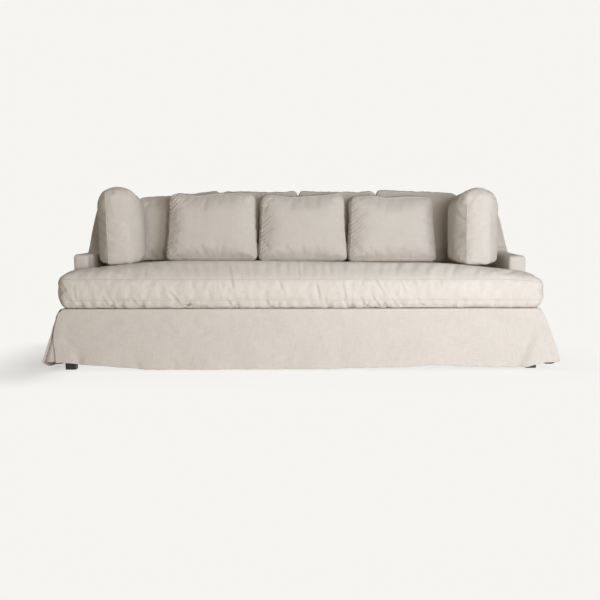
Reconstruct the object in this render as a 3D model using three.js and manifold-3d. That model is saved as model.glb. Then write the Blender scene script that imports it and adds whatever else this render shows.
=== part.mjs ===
// Slipcovered camelback sofa with loose cushions.
// Millimetres, +Z up, the front faces -Y, the origin is on the floor under the middle of the sofa.

import * as THREE from 'three';
import { mergeVertices } from 'three/addons/utils/BufferGeometryUtils.js';
import Module from 'manifold-3d';

const wasm = await Module();
wasm.setup();

// Fits
const gap = 0.3; // between pieces that touch
const cushionGap = 0.5; // between cushions that lean on each other
const cutOverrun = 60; // how far a cutter runs past the faces that it opens

// Cloth and webbing
const coverThick = 2.5; // slipcover with its lining
const dustThick = 1.5;
const webThick = 2.5;
const webWidth = 60;

// Seat frame
const railLength = 2280; // rear rail
const earOverhang = 20; // the front of the base is this much wider at each side
const frameDepth = 980; // outer face of the front rail to outer face of the rear rail
const railHeight = 140;
const railThick = 32;
const railRound = 10;
const panelThick = 18;
const blockLeg = 95;
const blockHeight = 80;
const stretcherSpacing = 720;
const stretcherThick = 32;
const stretcherDish = 16; // dip of the stretcher's top edge
const stretcherEnd = 60; // straight length at each end of the dip
const stretcherArch = 45;

// Feet
const footHeight = 105;
const footWidth = 56;
const footToe = 48; // width of the foot on the floor
const footInset = 4; // from the rail ends to the foot's side
const footSetback = 22; // from the rail's outer face to the foot

// Seat platform
const padThick = 44;
const padOverhang = 9; // pad past the rail ends
const deckRim = 38; // depth of the rim that the skirt is sewn to
const deckCorner = 26;
const deckBackGap = 4; // deck to the inside back
const deckArmGap = 6;
const webEdge = 12; // strap end to the rail's outer edge
const webCrossCount = 6; // even, so that no strap meets the middle post
const webCrossSpacing = 320;
const webLongCount = 2;
const webLongSpacing = 300;

// Arms
const armWidth = 88;
const armFrontLine = -277;
const armBottomLift = 15; // cover's lower edge above the rails
const armNoseHeight = 553;
const armNoseRadius = 24;
const armTopHeight = 571; // where the swoop starts
const swoopStart = 42;
const armEdgeRound = 16;
const armPadInner = 14;
const armPadTop = 12;
const armPanelGap = 0.5;
const armPostWidth = 40;
const armPostThick = 40;
const windowMargin = 46; // solid wood round the lightening holes

// Back
const backSeatLine = 290; // inside back at the level of the deck line
const deckLine = 300;
const backRecline = THREE.MathUtils.degToRad(10);
const backOuterLean = THREE.MathUtils.degToRad(2.7);
const backEndHeight = 852;
const camelRise = 50; // hump above the ends
const backShoulder = 36;
const backEdgeRound = 18;
const backPadFront = 38;
const backPadRear = 8;
const backPadTop = 13;
const postThick = 25;
const postSpacing = 960;
const postTopDrop = 92; // post tops under the shoulder of the back
const topRailThick = 42;
const topRailSetback = 30; // top rail behind the front edge of the post tops
const tackRailHeight = 60;
const tackRailThick = 22;
const tackRailLift = 20; // above the lower edge of the padding

// Skirt
const skirtDrop = 3; // skirt top under the deck
const hemClear = 6; // hem above the floor
const hemCornerLift = 20;
const skirtFlare = 28;
const skirtSideFlare = 56;
const skirtCornerFlare = 18;
const skirtCornerSpread = 12; // the front and rear panels widen by this towards the hem
const hemWave = 5;
const pleatLeg = 110;
const pleatSlack = 8; // pleat behind the hem of the panels

// Seat cushion
const seatOverhang = { front: 30, end: 26 }; // past the front rail
const seatEarGap = 6; // ear to the arm's front
const seatArmGap = 12; // stem to the arm
const seatBackGap = 2;
const seatSeamLow = 42; // lower seam above the cushion's underside
const seatSeamHigh = 140;
const seatThick = 226;
const seatCorner = 62;
const seatInnerCorner = 16;
const seatDraw = 7;
const seatEdge = { front: 120, ear: 70, end: 165, arm: 60, back: 45 }; // where the crown levels out
const seatUnder = 40; // width of the rounding underneath
const seatFallReach = 600; // from each end, where the crown starts to fall

// Back cushions
const backCushionCount = 4;
const backCushionWidth = 445;
const backCushionHeight = 392;
const backCushionFall = 24; // the tops of the outer cushions fall this much towards the arms
const backCushionBoxing = 80;
const backCushionCrown = 35;

// Pillows
const pillowWidth = 488;
const pillowHeight = 368;
const pillowBoxing = 104;
const pillowCrown = 46;
const pillowTaper = 15; // each side leans in by this much at the top
const pillowPitch = 490;
const pillowShift = 16; // the row of pillows sits to the right of the middle

// Side cushions
const sideWidth = 456;
const sideHeight = 395;
const sideBoxing = 112;
const sideCrown = 52;
const sideCorner = 58;
const sideBackGap = 6;
const sideArmGaps = { left: 3, right: 26 };
const sideToeIn = THREE.MathUtils.degToRad(5); // their fronts turn towards the middle
const sideLeans = { left: THREE.MathUtils.degToRad(2), right: 0 }; // outwards, onto the arm

// Shared cushion values
const cushionCorner = 34;
const cushionDraw = 9; // how far the edges are drawn in between the corners
const cushionPlateau = 128; // width of the swelling, seam to level panel

// Proportions
const swoopFootShare = 0.2;
const swoopKneeShare = 0.5;
const swoopKneeHeightShare = 0.82;
const crownRingShares = [0, 0.14, 0.4, 0.7, 1];
const seatRingShares = [0, 0.08, 0.3, 0.65, 1];
const seatRoundShares = [0, 0.5, 1];
const weaveFlatShare = 0.55; // half the level length of a strap over a crossing
const roundingShare = 0.8; // how round the level middle of a cushion's panel is
const bellyShare = 0.3; // how full a crown is near its seam
const seatFallShare = 0.4; // how much of the seat's crown is lost at its ends
const windowFrontShares = [0.04, 0.42];
const windowRearShares = [0.5, 0.8];
const windowCornerShare = 0.35;
const skirtRowShares = [0, 0.1, 0.3, 0.55, 0.8, 1];
const flarePower = 1.6;
const endPower = 8; // how near its ends a skirt panel lifts and swings out
const foldShares = [0.6, 0.43]; // height of the narrow folds, and their pace to the wide ones'
const pleatFlareShare = 0.6;

// Facets
const bevelSteps = 2;
const arcSteps = 6;
const curveSteps = 12;
const camelSteps = 24;
const deckFrontSteps = 4;
const seatFrontSteps = 20;
const seatEndSteps = 3;
const crownSteps = 36;
const cushionSideSteps = 4;
const cushionCornerSteps = 3;
const skirtLongFolds = 9;
const skirtShortFolds = 4;
const skirtLongColumns = 40;
const skirtShortColumns = 20;

// Heights and faces that several pieces share
const dustBottom = footHeight + gap;
const railBottom = dustBottom + dustThick + gap;
const railTop = railBottom + railHeight;
const halfFrame = frameDepth / 2;
const halfRail = railLength / 2;
const frontHalf = halfRail + earOverhang;
const seatHalfWidth = frontHalf + seatOverhang.end;
const seatFrontLine = -halfFrame - seatOverhang.front;
const webTop = railTop + gap + webThick;
const weave = (webThick + gap) / 2;
const padBottom = webTop + weave + gap;
const padTop = padBottom + padThick;
const deckTop = padTop + gap + coverThick;
const seatBottom = deckTop + gap;
const seatTop = seatBottom + seatThick;
const cushionBottom = seatTop + gap;
const coverBottom = railTop + armBottomLift;
const skirtInnerX = halfRail + padOverhang + gap + coverThick + gap;
const skirtInnerY = halfFrame + gap + coverThick + gap;
const armOuter = skirtInnerX - gap;
const armInner = armOuter - armWidth;

const insideBack = (z) => backSeatLine + (z - deckLine) * Math.tan(backRecline);
const outsideBack = (z) => skirtInnerY - gap + (z - deckTop) * Math.tan(backOuterLean);

const sofa = new THREE.Group();

// Colours and finishes
const finish = {
  linen: { color: 0xe2d8ca, roughness: 0.95, metalness: 0 },
  wadding: { color: 0xeeeae2, roughness: 0.98, metalness: 0 },
  wood: { color: 0xb98a58, roughness: 0.7, metalness: 0 },
  plywood: { color: 0xc9a374, roughness: 0.72, metalness: 0 },
  jute: { color: 0xa98b5d, roughness: 0.92, metalness: 0 },
  cambric: { color: 0x1e1d1c, roughness: 0.96, metalness: 0 },
  footBlack: { color: 0x1f1b17, roughness: 0.42, metalness: 0 },
};

function add(name, geometry, kind) {
  const mesh = new THREE.Mesh(geometry, new THREE.MeshStandardMaterial(finish[kind]));
  mesh.name = name;
  sofa.add(mesh);
}

// Solids

function signedVolume(points, faces) {
  const a = new THREE.Vector3();
  const b = new THREE.Vector3();
  const c = new THREE.Vector3();
  let sum = 0;
  for (let i = 0; i < faces.length; i += 3) {
    a.fromArray(points, faces[i] * 3);
    b.fromArray(points, faces[i + 1] * 3);
    c.fromArray(points, faces[i + 2] * 3);
    sum += a.dot(b.cross(c));
  }
  return sum / 6;
}

function indexed(points, faces) {
  const turned = signedVolume(points, faces) < 0 ? faces.slice().reverse() : faces;
  const geometry = new THREE.BufferGeometry();
  geometry.setAttribute('position', new THREE.Float32BufferAttribute(points, 3));
  geometry.setIndex(turned);
  const flat = geometry.toNonIndexed();
  flat.computeVertexNormals();
  return flat;
}

function toSolid(geometry) {
  const bare = geometry.clone();
  bare.deleteAttribute('normal');
  bare.deleteAttribute('uv');
  const merged = mergeVertices(bare);
  const vertProperties = new Float32Array(merged.attributes.position.array);
  const triVerts = new Uint32Array(merged.index.array);
  return new wasm.Manifold(new wasm.Mesh({ numProp: 3, vertProperties, triVerts }));
}

function toGeometry(solid) {
  const mesh = solid.getMesh();
  return indexed(Array.from(mesh.vertProperties), Array.from(mesh.triVerts));
}

function subtract(geometry, ...cutters) {
  let solid = toSolid(geometry);
  for (const cutter of cutters) solid = solid.subtract(toSolid(cutter));
  return toGeometry(solid);
}

function intersect(geometry, other) {
  return toGeometry(toSolid(geometry).intersect(toSolid(other)));
}

// An outline in two axes, extruded along the third
const axes = {
  x: [new THREE.Vector3(0, 1, 0), new THREE.Vector3(0, 0, 1), new THREE.Vector3(1, 0, 0)],
  y: [new THREE.Vector3(-1, 0, 0), new THREE.Vector3(0, 0, 1), new THREE.Vector3(0, 1, 0)],
  z: [new THREE.Vector3(1, 0, 0), new THREE.Vector3(0, 1, 0), new THREE.Vector3(0, 0, 1)],
};

function extrude(shape, axis, from, to, round = 0) {
  const geometry = new THREE.ExtrudeGeometry(shape, {
    depth: to - from - 2 * round,
    steps: 1,
    curveSegments: arcSteps,
    bevelEnabled: round > 0,
    bevelThickness: round,
    bevelSize: round,
    bevelOffset: -round,
    bevelSegments: bevelSteps,
  });
  geometry.translate(0, 0, from + round);
  geometry.applyMatrix4(new THREE.Matrix4().makeBasis(...axes[axis]));
  return geometry;
}

function outline(points) {
  return new THREE.Shape(points.map(([a, b]) => new THREE.Vector2(a, b)));
}

function block(x0, x1, y0, y1, z0, z1) {
  const geometry = new THREE.BoxGeometry(x1 - x0, y1 - y0, z1 - z0);
  geometry.translate((x0 + x1) / 2, (y0 + y1) / 2, (z0 + z1) / 2);
  return geometry;
}

// Rings of equally many points, stacked into one closed solid
function ringSolid(rings) {
  const count = rings[0].length;
  const points = [];
  const faces = [];
  for (const ring of rings) {
    for (const p of ring) points.push(p.x, p.y, p.z);
  }
  for (let r = 0; r < rings.length - 1; r += 1) {
    for (let k = 0; k < count; k += 1) {
      const a = r * count + k;
      const b = r * count + ((k + 1) % count);
      faces.push(a, b, b + count, a, b + count, a + count);
    }
  }
  const cap = (ring) => THREE.ShapeUtils.triangulateShape(ring.map((p) => new THREE.Vector2(p.x, p.y)), []);
  const last = (rings.length - 1) * count;
  for (const [a, b, c] of cap(rings[0])) faces.push(a, c, b);
  for (const [a, b, c] of cap(rings[rings.length - 1])) faces.push(last + a, last + b, last + c);
  return indexed(points, faces);
}

// Seat frame

function railShape(y0, y1, frontRound) {
  const shape = new THREE.Shape();
  shape.moveTo(y0, railBottom);
  shape.lineTo(y1, railBottom);
  shape.lineTo(y1, railTop);
  if (frontRound) {
    shape.lineTo(y0 + railRound, railTop);
    shape.absarc(y0 + railRound, railTop - railRound, railRound, Math.PI / 2, Math.PI, false);
  } else {
    shape.lineTo(y0, railTop);
  }
  shape.closePath();
  return shape;
}

const railInnerY = halfFrame - railThick;
const sideRailOuter = halfRail - panelThick - armPanelGap;
const sideRailInner = sideRailOuter - railThick;
add('front_rail', extrude(railShape(-halfFrame, -railInnerY, true), 'x', -frontHalf, frontHalf), 'wood');
add('rear_rail', extrude(railShape(railInnerY, halfFrame, false), 'x', -halfRail, halfRail), 'wood');

for (const [side, sign] of [['left', -1], ['right', 1]]) {
  const xs = [sign * sideRailInner, sign * sideRailOuter].sort((a, b) => a - b);
  const rail = block(xs[0], xs[1], -railInnerY + gap, railInnerY - gap, railBottom, railTop);
  add(`side_rail_${side}`, rail, 'wood');
}

for (const [end, ySign] of [['front', -1], ['rear', 1]]) {
  for (const [side, xSign] of [['left', -1], ['right', 1]]) {
    const x = xSign * (sideRailInner - gap);
    const y = ySign * (railInnerY - gap);
    const corners = [[x, y], [x - xSign * blockLeg, y], [x, y - ySign * blockLeg]];
    const base = railBottom + (railHeight - blockHeight) / 2;
    const shape = outline(xSign * ySign > 0 ? corners : corners.reverse());
    add(`corner_block_${end}_${side}`, extrude(shape, 'z', base, base + blockHeight), 'wood');
  }
}

function stretcherShape() {
  const end = railInnerY - gap;
  const shape = new THREE.Shape();
  shape.moveTo(-end, railBottom);
  shape.lineTo(-end + stretcherEnd, railBottom);
  shape.quadraticCurveTo(0, railBottom + stretcherArch * 2, end - stretcherEnd, railBottom);
  shape.lineTo(end, railBottom);
  shape.lineTo(end, railTop - weave);
  shape.lineTo(end - stretcherEnd, railTop - weave);
  shape.quadraticCurveTo(0, railTop - stretcherDish * 2, stretcherEnd - end, railTop - weave);
  shape.lineTo(-end, railTop - weave);
  shape.closePath();
  return shape;
}

for (const [side, sign] of [['left', -1], ['right', 1]]) {
  const x = sign * stretcherSpacing / 2;
  const half = stretcherThick / 2;
  add(`seat_stretcher_${side}`, extrude(stretcherShape(), 'x', x - half, x + half), 'wood');
}

// Feet: square blocks that taper to the floor
function foot(x, y) {
  const square = (width, z) => [[-1, -1], [1, -1], [1, 1], [-1, 1]].map(
    ([a, b]) => new THREE.Vector3(x + a * width / 2, y + b * width / 2, z),
  );
  return ringSolid([square(footToe, 0), square(footWidth, footHeight)]);
}

const footY = halfFrame - footSetback - footWidth / 2;
for (const [end, ySign, reach] of [['front', -1, frontHalf], ['rear', 1, halfRail]]) {
  const footX = reach - footInset - footWidth / 2;
  for (const [side, xSign] of [['left', -1], ['centre', 0], ['right', 1]]) {
    add(`foot_${end}_${side}`, foot(xSign * footX, ySign * footY), 'footBlack');
  }
}

// Dust cover under the rails
const dustEdge = armPanelGap + railRound;
add('dust_cover', block(
  -halfRail + dustEdge,
  halfRail - dustEdge,
  -halfFrame + dustEdge,
  halfFrame - dustEdge,
  dustBottom,
  dustBottom + dustThick,
), 'cambric');

// Webbing, woven over and under

// Places in a row about the middle
const spaced = (count, spacing) => Array.from({ length: count }, (_, i) => (i - (count - 1) / 2) * spacing);
const crossXs = spaced(webCrossCount, webCrossSpacing);
const longYs = spaced(webLongCount, webLongSpacing);

// A strap along its length s, with its height shifted up or down at each crossing
function strapShape(end, crossings, startSign) {
  const middle = railTop + gap + webThick / 2;
  const line = [[-end, middle]];
  crossings.forEach((s, k) => {
    const lift = startSign * (k % 2 === 0 ? 1 : -1) * weave;
    line.push([s - webWidth, middle]);
    line.push([s - webWidth * weaveFlatShare, middle + lift]);
    line.push([s + webWidth * weaveFlatShare, middle + lift]);
    line.push([s + webWidth, middle]);
  });
  line.push([end, middle]);
  const lower = line.map(([s, z]) => [s, z - webThick / 2]);
  const upper = line.map(([s, z]) => [s, z + webThick / 2]).reverse();
  return outline([...lower, ...upper]);
}

crossXs.forEach((x, i) => {
  const sign = i % 2 === 0 ? 1 : -1;
  const shape = strapShape(halfFrame - webEdge, longYs, sign);
  add(`web_cross_${i + 1}`, extrude(shape, 'x', x - webWidth / 2, x + webWidth / 2), 'jute');
});

// The long straps are drawn from their right ends
longYs.forEach((y, j) => {
  const sign = (j + webCrossCount) % 2 === 0 ? 1 : -1;
  const shape = strapShape(sideRailOuter - webEdge, crossXs, sign);
  const strap = extrude(shape, 'y', y - webWidth / 2, y + webWidth / 2);
  add(`web_long_${j === 0 ? 'front' : 'rear'}`, strap, 'jute');
});

// A bench outline with ears in front of the arms, counter-clockwise from the front left corner
function benchOutline({ half, stem, front, ear, back, corner, inner, draw, endSteps, frontSteps }) {
  const points = [];
  const side = (x0, y0, x1, y1, steps, pull) => {
    const run = Math.hypot(x1 - x0, y1 - y0);
    const nx = -(y1 - y0) / run;
    const ny = (x1 - x0) / run;
    for (let i = 0; i < steps; i += 1) {
      const t = i / steps;
      const bow = pull * (1 - (2 * t - 1) ** 2);
      points.push([x0 + (x1 - x0) * t + nx * bow, y0 + (y1 - y0) * t + ny * bow]);
    }
  };
  const turn = (cx, cy, radius, start, sweep) => {
    for (let i = 0; i < cushionCornerSteps; i += 1) {
      const angle = start + (sweep * i) / cushionCornerSteps;
      points.push([cx + radius * Math.cos(angle), cy + radius * Math.sin(angle)]);
    }
  };
  const q = Math.PI / 2;
  const r = corner;
  turn(-half + r, front + r, r, 2 * q, q);
  side(-half + r, front, half - r, front, frontSteps, 0);
  turn(half - r, front + r, r, -q, q);
  side(half, front + r, half, ear - r, endSteps, draw);
  turn(half - r, ear - r, r, 0, q);
  side(half - r, ear, stem + inner, ear, 1, 0);
  turn(stem + inner, ear + inner, inner, -q, -q);
  side(stem, ear + inner, stem, back - r, endSteps, 0);
  turn(stem - r, back - r, r, 0, q);
  side(stem - r, back, -stem + r, back, frontSteps / 2, 0);
  turn(-stem + r, back - r, r, q, q);
  side(-stem, back - r, -stem, ear + inner, endSteps, 0);
  turn(-stem - inner, ear + inner, inner, 0, -q);
  side(-stem - inner, ear, -half + r, ear, 1, 0);
  turn(-half + r, ear - r, r, q, q);
  side(-half, ear - r, -half, front + r, endSteps, draw);
  return points;
}

// Deck pad and the slipcover's deck over it

function deckSlab(inset, z0, z1) {
  const shape = outline(benchOutline({
    half: skirtInnerX + earOverhang - gap - inset,
    stem: armInner - deckArmGap - inset,
    front: -skirtInnerY + gap + inset,
    ear: armFrontLine - gap - inset,
    back: insideBack(coverBottom) - deckBackGap - inset,
    corner: deckCorner - inset,
    inner: seatInnerCorner + inset,
    draw: 0,
    frontSteps: deckFrontSteps,
    endSteps: 1,
  }));
  return extrude(shape, 'z', z0, z1);
}

const rimInset = coverThick;
add('deck_pad', deckSlab(rimInset + gap, padBottom, padTop), 'wadding');
add('slipcover_deck', subtract(
  deckSlab(0, deckTop - deckRim, deckTop),
  deckSlab(rimInset, deckTop - deckRim - cutOverrun, deckTop - coverThick),
), 'linen');

// Arms

// The arm's top line from the foot of its front to the back, moved inwards by inset
function armLine(inset) {
  const crest = backEndHeight;
  const reach = insideBack(crest);
  const run = reach - swoopStart;
  const rise = crest - armTopHeight;
  const slope = (armTopHeight - armNoseHeight) / (swoopStart - armFrontLine);
  const curve = new THREE.CubicBezierCurve(
    new THREE.Vector2(swoopStart, armTopHeight),
    new THREE.Vector2(swoopStart + run * swoopFootShare, armTopHeight + run * swoopFootShare * slope),
    new THREE.Vector2(swoopStart + run * swoopKneeShare, armTopHeight + rise * swoopKneeHeightShare),
    new THREE.Vector2(reach, crest),
  );
  const line = [new THREE.Vector2(armFrontLine, coverBottom)];
  const centre = new THREE.Vector2(armFrontLine + armNoseRadius, armNoseHeight - armNoseRadius);
  for (let i = 0; i <= bevelSteps; i += 1) {
    const angle = Math.PI - (Math.PI / 2 - Math.atan(slope)) * (i / bevelSteps);
    const spoke = new THREE.Vector2(Math.cos(angle), Math.sin(angle)).multiplyScalar(armNoseRadius);
    line.push(spoke.add(centre));
  }
  line.push(...curve.getPoints(curveSteps));
  return line.map((point, i) => {
    const before = line[Math.max(0, i - 1)];
    const after = line[Math.min(line.length - 1, i + 1)];
    const along = after.clone().sub(before).normalize();
    return new THREE.Vector2(point.x + along.y * inset, point.y - along.x * inset);
  });
}

// Everything in front of the inside back, above a level
function frontOfBack(inset, bottom) {
  const top = backEndHeight + cutOverrun;
  const shape = outline([
    [armFrontLine - cutOverrun, bottom],
    [insideBack(bottom) - gap - inset, bottom],
    [insideBack(top) - gap - inset, top],
    [armFrontLine - cutOverrun, top],
  ]);
  return extrude(shape, 'x', -armOuter - cutOverrun, armOuter + cutOverrun);
}

// The arm's side outline, run on past the inside back and down to a level
function armShape(inset, bottom) {
  const line = armLine(inset);
  const front = line[0];
  const crest = line[line.length - 1];
  const past = crest.x + cutOverrun * 2;
  return outline([
    [past, bottom],
    [past, crest.y],
    ...line.slice().reverse().map((p) => [p.x, p.y]),
    [front.x, bottom],
  ]);
}

function armBlock(inset, x0, x1, bottom, round = 0) {
  const solid = extrude(armShape(inset, bottom - cutOverrun), 'x', x0, x1, round);
  return intersect(solid, frontOfBack(inset, bottom));
}

const padOffset = coverThick + gap;
const pocketOffset = padOffset + armPadTop;
for (const [side, sign] of [['left', -1], ['right', 1]]) {
  const span = (a, b) => [sign * a, sign * b].sort((p, q) => p - q);
  const [coverX0, coverX1] = span(armInner, armOuter);
  const [padX0, padX1] = span(armInner + padOffset, armOuter - padOffset);
  const [liningX0, liningX1] = span(armInner + coverThick, armOuter - coverThick);
  const [pocketX0, pocketX1] = span(armInner + padOffset + armPadInner, halfRail + gap);
  const cover = subtract(
    armBlock(0, coverX0, coverX1, coverBottom, armEdgeRound),
    armBlock(coverThick, liningX0, liningX1, coverBottom - cutOverrun, armEdgeRound - coverThick),
  );
  add(`slipcover_arm_${side}`, cover, 'linen');
  const padding = subtract(
    armBlock(padOffset, padX0, padX1, coverBottom, armEdgeRound),
    armBlock(pocketOffset, pocketX0, pocketX1, coverBottom - cutOverrun),
  );
  add(`arm_padding_${side}`, padding, 'wadding');
}

// Plywood arm panel with two windows, and the post at its front

function windowHole(line, shares, bottom) {
  const first = line[0].x;
  const reach = line[line.length - 1].x - first;
  const from = first + reach * shares[0] + windowMargin / 2;
  const to = first + reach * shares[1];
  const topAt = (y) => {
    const k = line.findIndex((p, i) => i > 0 && p.x >= y);
    const a = line[k - 1];
    const b = line[k];
    return a.y + ((b.y - a.y) * (y - a.x)) / (b.x - a.x) - windowMargin;
  };
  const base = bottom + windowMargin;
  const r = windowMargin * windowCornerShare;
  const hole = new THREE.Path();
  hole.moveTo(from + r, base);
  hole.lineTo(to - r, base);
  hole.quadraticCurveTo(to, base, to, base + r);
  hole.lineTo(to, topAt(to) - r);
  hole.quadraticCurveTo(to, topAt(to), to - r, topAt(to - r));
  hole.lineTo(from + r, topAt(from + r));
  hole.quadraticCurveTo(from, topAt(from), from, topAt(from) - r);
  hole.lineTo(from, base + r);
  hole.quadraticCurveTo(from, base, from + r, base);
  return hole;
}

const panelInset = pocketOffset + gap;
const panelLine = armLine(panelInset);
const panelFront = panelLine[0].x;
const postTopLine = panelLine[1].y;
for (const [side, sign] of [['left', -1], ['right', 1]]) {
  const shape = armShape(panelInset, railBottom);
  shape.holes.push(windowHole(panelLine, windowFrontShares, railTop));
  shape.holes.push(windowHole(panelLine, windowRearShares, railTop));
  const xs = [sign * (halfRail - panelThick), sign * halfRail].sort((a, b) => a - b);
  const panel = intersect(extrude(shape, 'x', xs[0], xs[1]), frontOfBack(panelInset, railBottom));
  add(`arm_panel_${side}`, panel, 'plywood');
  const postXs = [sign * (sideRailOuter - armPostThick), sign * sideRailOuter].sort((a, b) => a - b);
  add(`arm_post_${side}`, block(
    postXs[0],
    postXs[1],
    panelFront,
    panelFront + armPostWidth,
    railTop + gap,
    postTopLine,
  ), 'wood');
}

// Back

function camelOutline(inset, bottom) {
  const half = armOuter - inset;
  const hump = (x) => camelRise * (1 + Math.cos((Math.PI * x) / armOuter)) / 2;
  const heightAt = (x) => backEndHeight + hump(x) - inset;
  const r = backShoulder - inset;
  const shape = new THREE.Shape();
  shape.moveTo(-half, bottom);
  shape.lineTo(half, bottom);
  shape.lineTo(half, heightAt(half) - r);
  shape.quadraticCurveTo(half, heightAt(half), half - r, heightAt(half - r));
  for (let i = 1; i < camelSteps; i += 1) {
    const x = (half - r) * (1 - (2 * i) / camelSteps);
    shape.lineTo(x, heightAt(x));
  }
  shape.lineTo(-half + r, heightAt(half - r));
  shape.quadraticCurveTo(-half, heightAt(half), -half, heightAt(half) - r);
  shape.closePath();
  return shape;
}

// The back between its reclined inside face and its steeper outside face
function backSlab([inset, frontInset, rearInset], bottom, round = 0) {
  const thickness = outsideBack(backEndHeight) - insideBack(backEndHeight);
  const slab = extrude(camelOutline(inset, bottom - cutOverrun), 'y', 0, thickness, round);
  const place = slab.attributes.position;
  for (let i = 0; i < place.count; i += 1) {
    const z = place.getZ(i);
    const front = insideBack(z) + frontInset;
    const rear = outsideBack(z) - rearInset;
    place.setY(i, THREE.MathUtils.lerp(front, rear, place.getY(i) / thickness));
  }
  const reach = armOuter + cutOverrun;
  const top = backEndHeight + camelRise + cutOverrun;
  const keep = block(-reach, reach, -reach, reach, bottom, top);
  return intersect(slab, keep);
}

const framePocket = padOffset + backPadTop;
const frameFront = padOffset + backPadFront;
const frameRear = padOffset + backPadRear;
const coverLining = [coverThick, coverThick, coverThick];
add('slipcover_back', subtract(
  backSlab([0, 0, 0], coverBottom, backEdgeRound),
  backSlab(coverLining, coverBottom - cutOverrun, backEdgeRound - coverThick),
), 'linen');
add('back_padding', subtract(
  backSlab([padOffset, padOffset, padOffset], coverBottom, backEdgeRound),
  backSlab([framePocket, frameFront, frameRear], coverBottom - cutOverrun),
), 'wadding');

// Frame of the back

const postTop = backEndHeight - postTopDrop;
const postFront = (z) => insideBack(z) + frameFront + gap;
const postRear = (z) => outsideBack(z) - frameRear - gap;
const tackRailBottom = coverBottom + tackRailLift;
const tackRailTop = tackRailBottom + tackRailHeight;
const tackRailFront = postFront(tackRailTop) + gap;
const tackRailReach = armOuter - framePocket - gap;
add('lower_back_rail', block(
  -tackRailReach,
  tackRailReach,
  tackRailFront,
  tackRailFront + tackRailThick,
  tackRailBottom,
  tackRailTop,
), 'wood');

const postOutline = () => outline([
  [railInnerY - gap - (postRear(railTop) - postFront(railTop)), railBottom],
  [railInnerY - gap, railBottom],
  [railInnerY - gap, railTop + gap],
  [postRear(railTop), railTop + gap],
  [postRear(postTop), postTop],
  [postFront(postTop), postTop],
  [postFront(railTop), railTop + gap],
]);
for (const [name, sign] of [['left', -1], ['centre', 0], ['right', 1]]) {
  const x = sign * postSpacing;
  const post = extrude(postOutline(), 'x', x - postThick / 2, x + postThick / 2);
  const notch = block(
    x - postThick,
    x + postThick,
    postFront(tackRailBottom) - cutOverrun,
    tackRailFront + tackRailThick + gap,
    tackRailBottom - gap,
    tackRailTop + gap,
  );
  add(`back_post_${name}`, subtract(post, notch), 'plywood');
}

const topRailFront = postFront(postTop) + topRailSetback;
const topRailShape = camelOutline(framePocket + gap, postTop + gap);
add('camel_top_rail', extrude(topRailShape, 'y', topRailFront, topRailFront + topRailThick), 'wood');

// Skirt

const skirtTop = deckTop - skirtDrop;
const skirtHeight = skirtTop - hemClear;

// Outward swing of a panel at u along it (-1 to 1) and v down it (0 to 1)
function swing(u, v, flare, cornerFlare, folds) {
  const [narrow, wide] = foldShares;
  const slow = Math.sin(u * folds * Math.PI * wide + 1) * (1 - narrow);
  const wave = Math.sin(u * folds * Math.PI) * narrow + slow;
  const calm = 1 - u ** endPower;
  return v ** flarePower * (flare + cornerFlare * u ** endPower) + hemWave * wave * calm * v * v;
}

function skirtPanel({ half, inner, flare, cornerFlare, spread, columns, folds, frontEnd }) {
  const rings = skirtRowShares.slice().reverse().map((v) => {
    const outer = [];
    const lining = [];
    for (let i = 0; i <= columns; i += 1) {
      const u = (2 * i) / columns - 1;
      const z = skirtTop - v * (skirtHeight - hemCornerLift * u ** endPower);
      const x = u * (half + spread * v);
      const ear = frontEnd * u * half > -armFrontLine ? earOverhang : 0;
      const out = swing(u, v, flare, cornerFlare, folds) + ear;
      outer.push(new THREE.Vector3(x, -(inner + coverThick + out), z));
      lining.push(new THREE.Vector3(x, -(inner + out), z));
    }
    return [...outer, ...lining.reverse()];
  });
  return ringSolid(rings);
}

const longPanel = {
  inner: skirtInnerY,
  flare: skirtFlare,
  cornerFlare: 0,
  spread: skirtCornerSpread,
  columns: skirtLongColumns,
  folds: skirtLongFolds,
  frontEnd: 0,
};
const shortPanel = {
  half: skirtInnerY,
  inner: skirtInnerX,
  flare: skirtSideFlare,
  cornerFlare: skirtCornerFlare,
  spread: skirtFlare,
  columns: skirtShortColumns,
  folds: skirtShortFolds,
};
const panelsRound = [
  ['skirt_front', { ...longPanel, half: skirtInnerX + earOverhang - gap }],
  ['skirt_right', { ...shortPanel, frontEnd: -1 }],
  ['skirt_rear', { ...longPanel, half: skirtInnerX - gap }],
  ['skirt_left', { ...shortPanel, frontEnd: 1 }],
];
panelsRound.forEach(([name, panel], quarterTurns) => {
  const geometry = skirtPanel(panel);
  geometry.rotateZ((quarterTurns * Math.PI) / 2);
  add(name, geometry, 'linen');
});

// Kick pleats: a gusset folded round each corner behind the ends of the panels
function kickPleat(ear) {
  const innerX = skirtInnerX + ear;
  const top = deckTop - deckRim - gap;
  const height = top - hemClear;
  const slack = pleatSlack + hemWave;
  const rings = skirtRowShares.slice().reverse().map((v) => {
    const z = top - v * (height - hemCornerLift / 2);
    const spread = v ** flarePower;
    const frontY = skirtInnerY - gap + spread * (skirtFlare - slack);
    const sideX = innerX - gap + spread * (skirtSideFlare - slack);
    const cornerSwing = (skirtSideFlare + skirtCornerFlare) * pleatFlareShare;
    const cornerX = innerX - gap + spread * cornerSwing;
    const cornerY = skirtInnerY - gap + spread * skirtFlare * pleatFlareShare;
    const chamfer = coverThick + skirtCornerFlare * spread;
    const outer = [
      [innerX - pleatLeg, -frontY],
      [cornerX - chamfer, -cornerY],
      [cornerX, chamfer - cornerY],
      [sideX, pleatLeg - skirtInnerY],
    ];
    const inner = outer.map(([x, y]) => [x - coverThick, y + coverThick]).reverse();
    return [...outer, ...inner].map(([x, y]) => new THREE.Vector3(x, y, z));
  });
  return ringSolid(rings);
}

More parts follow.
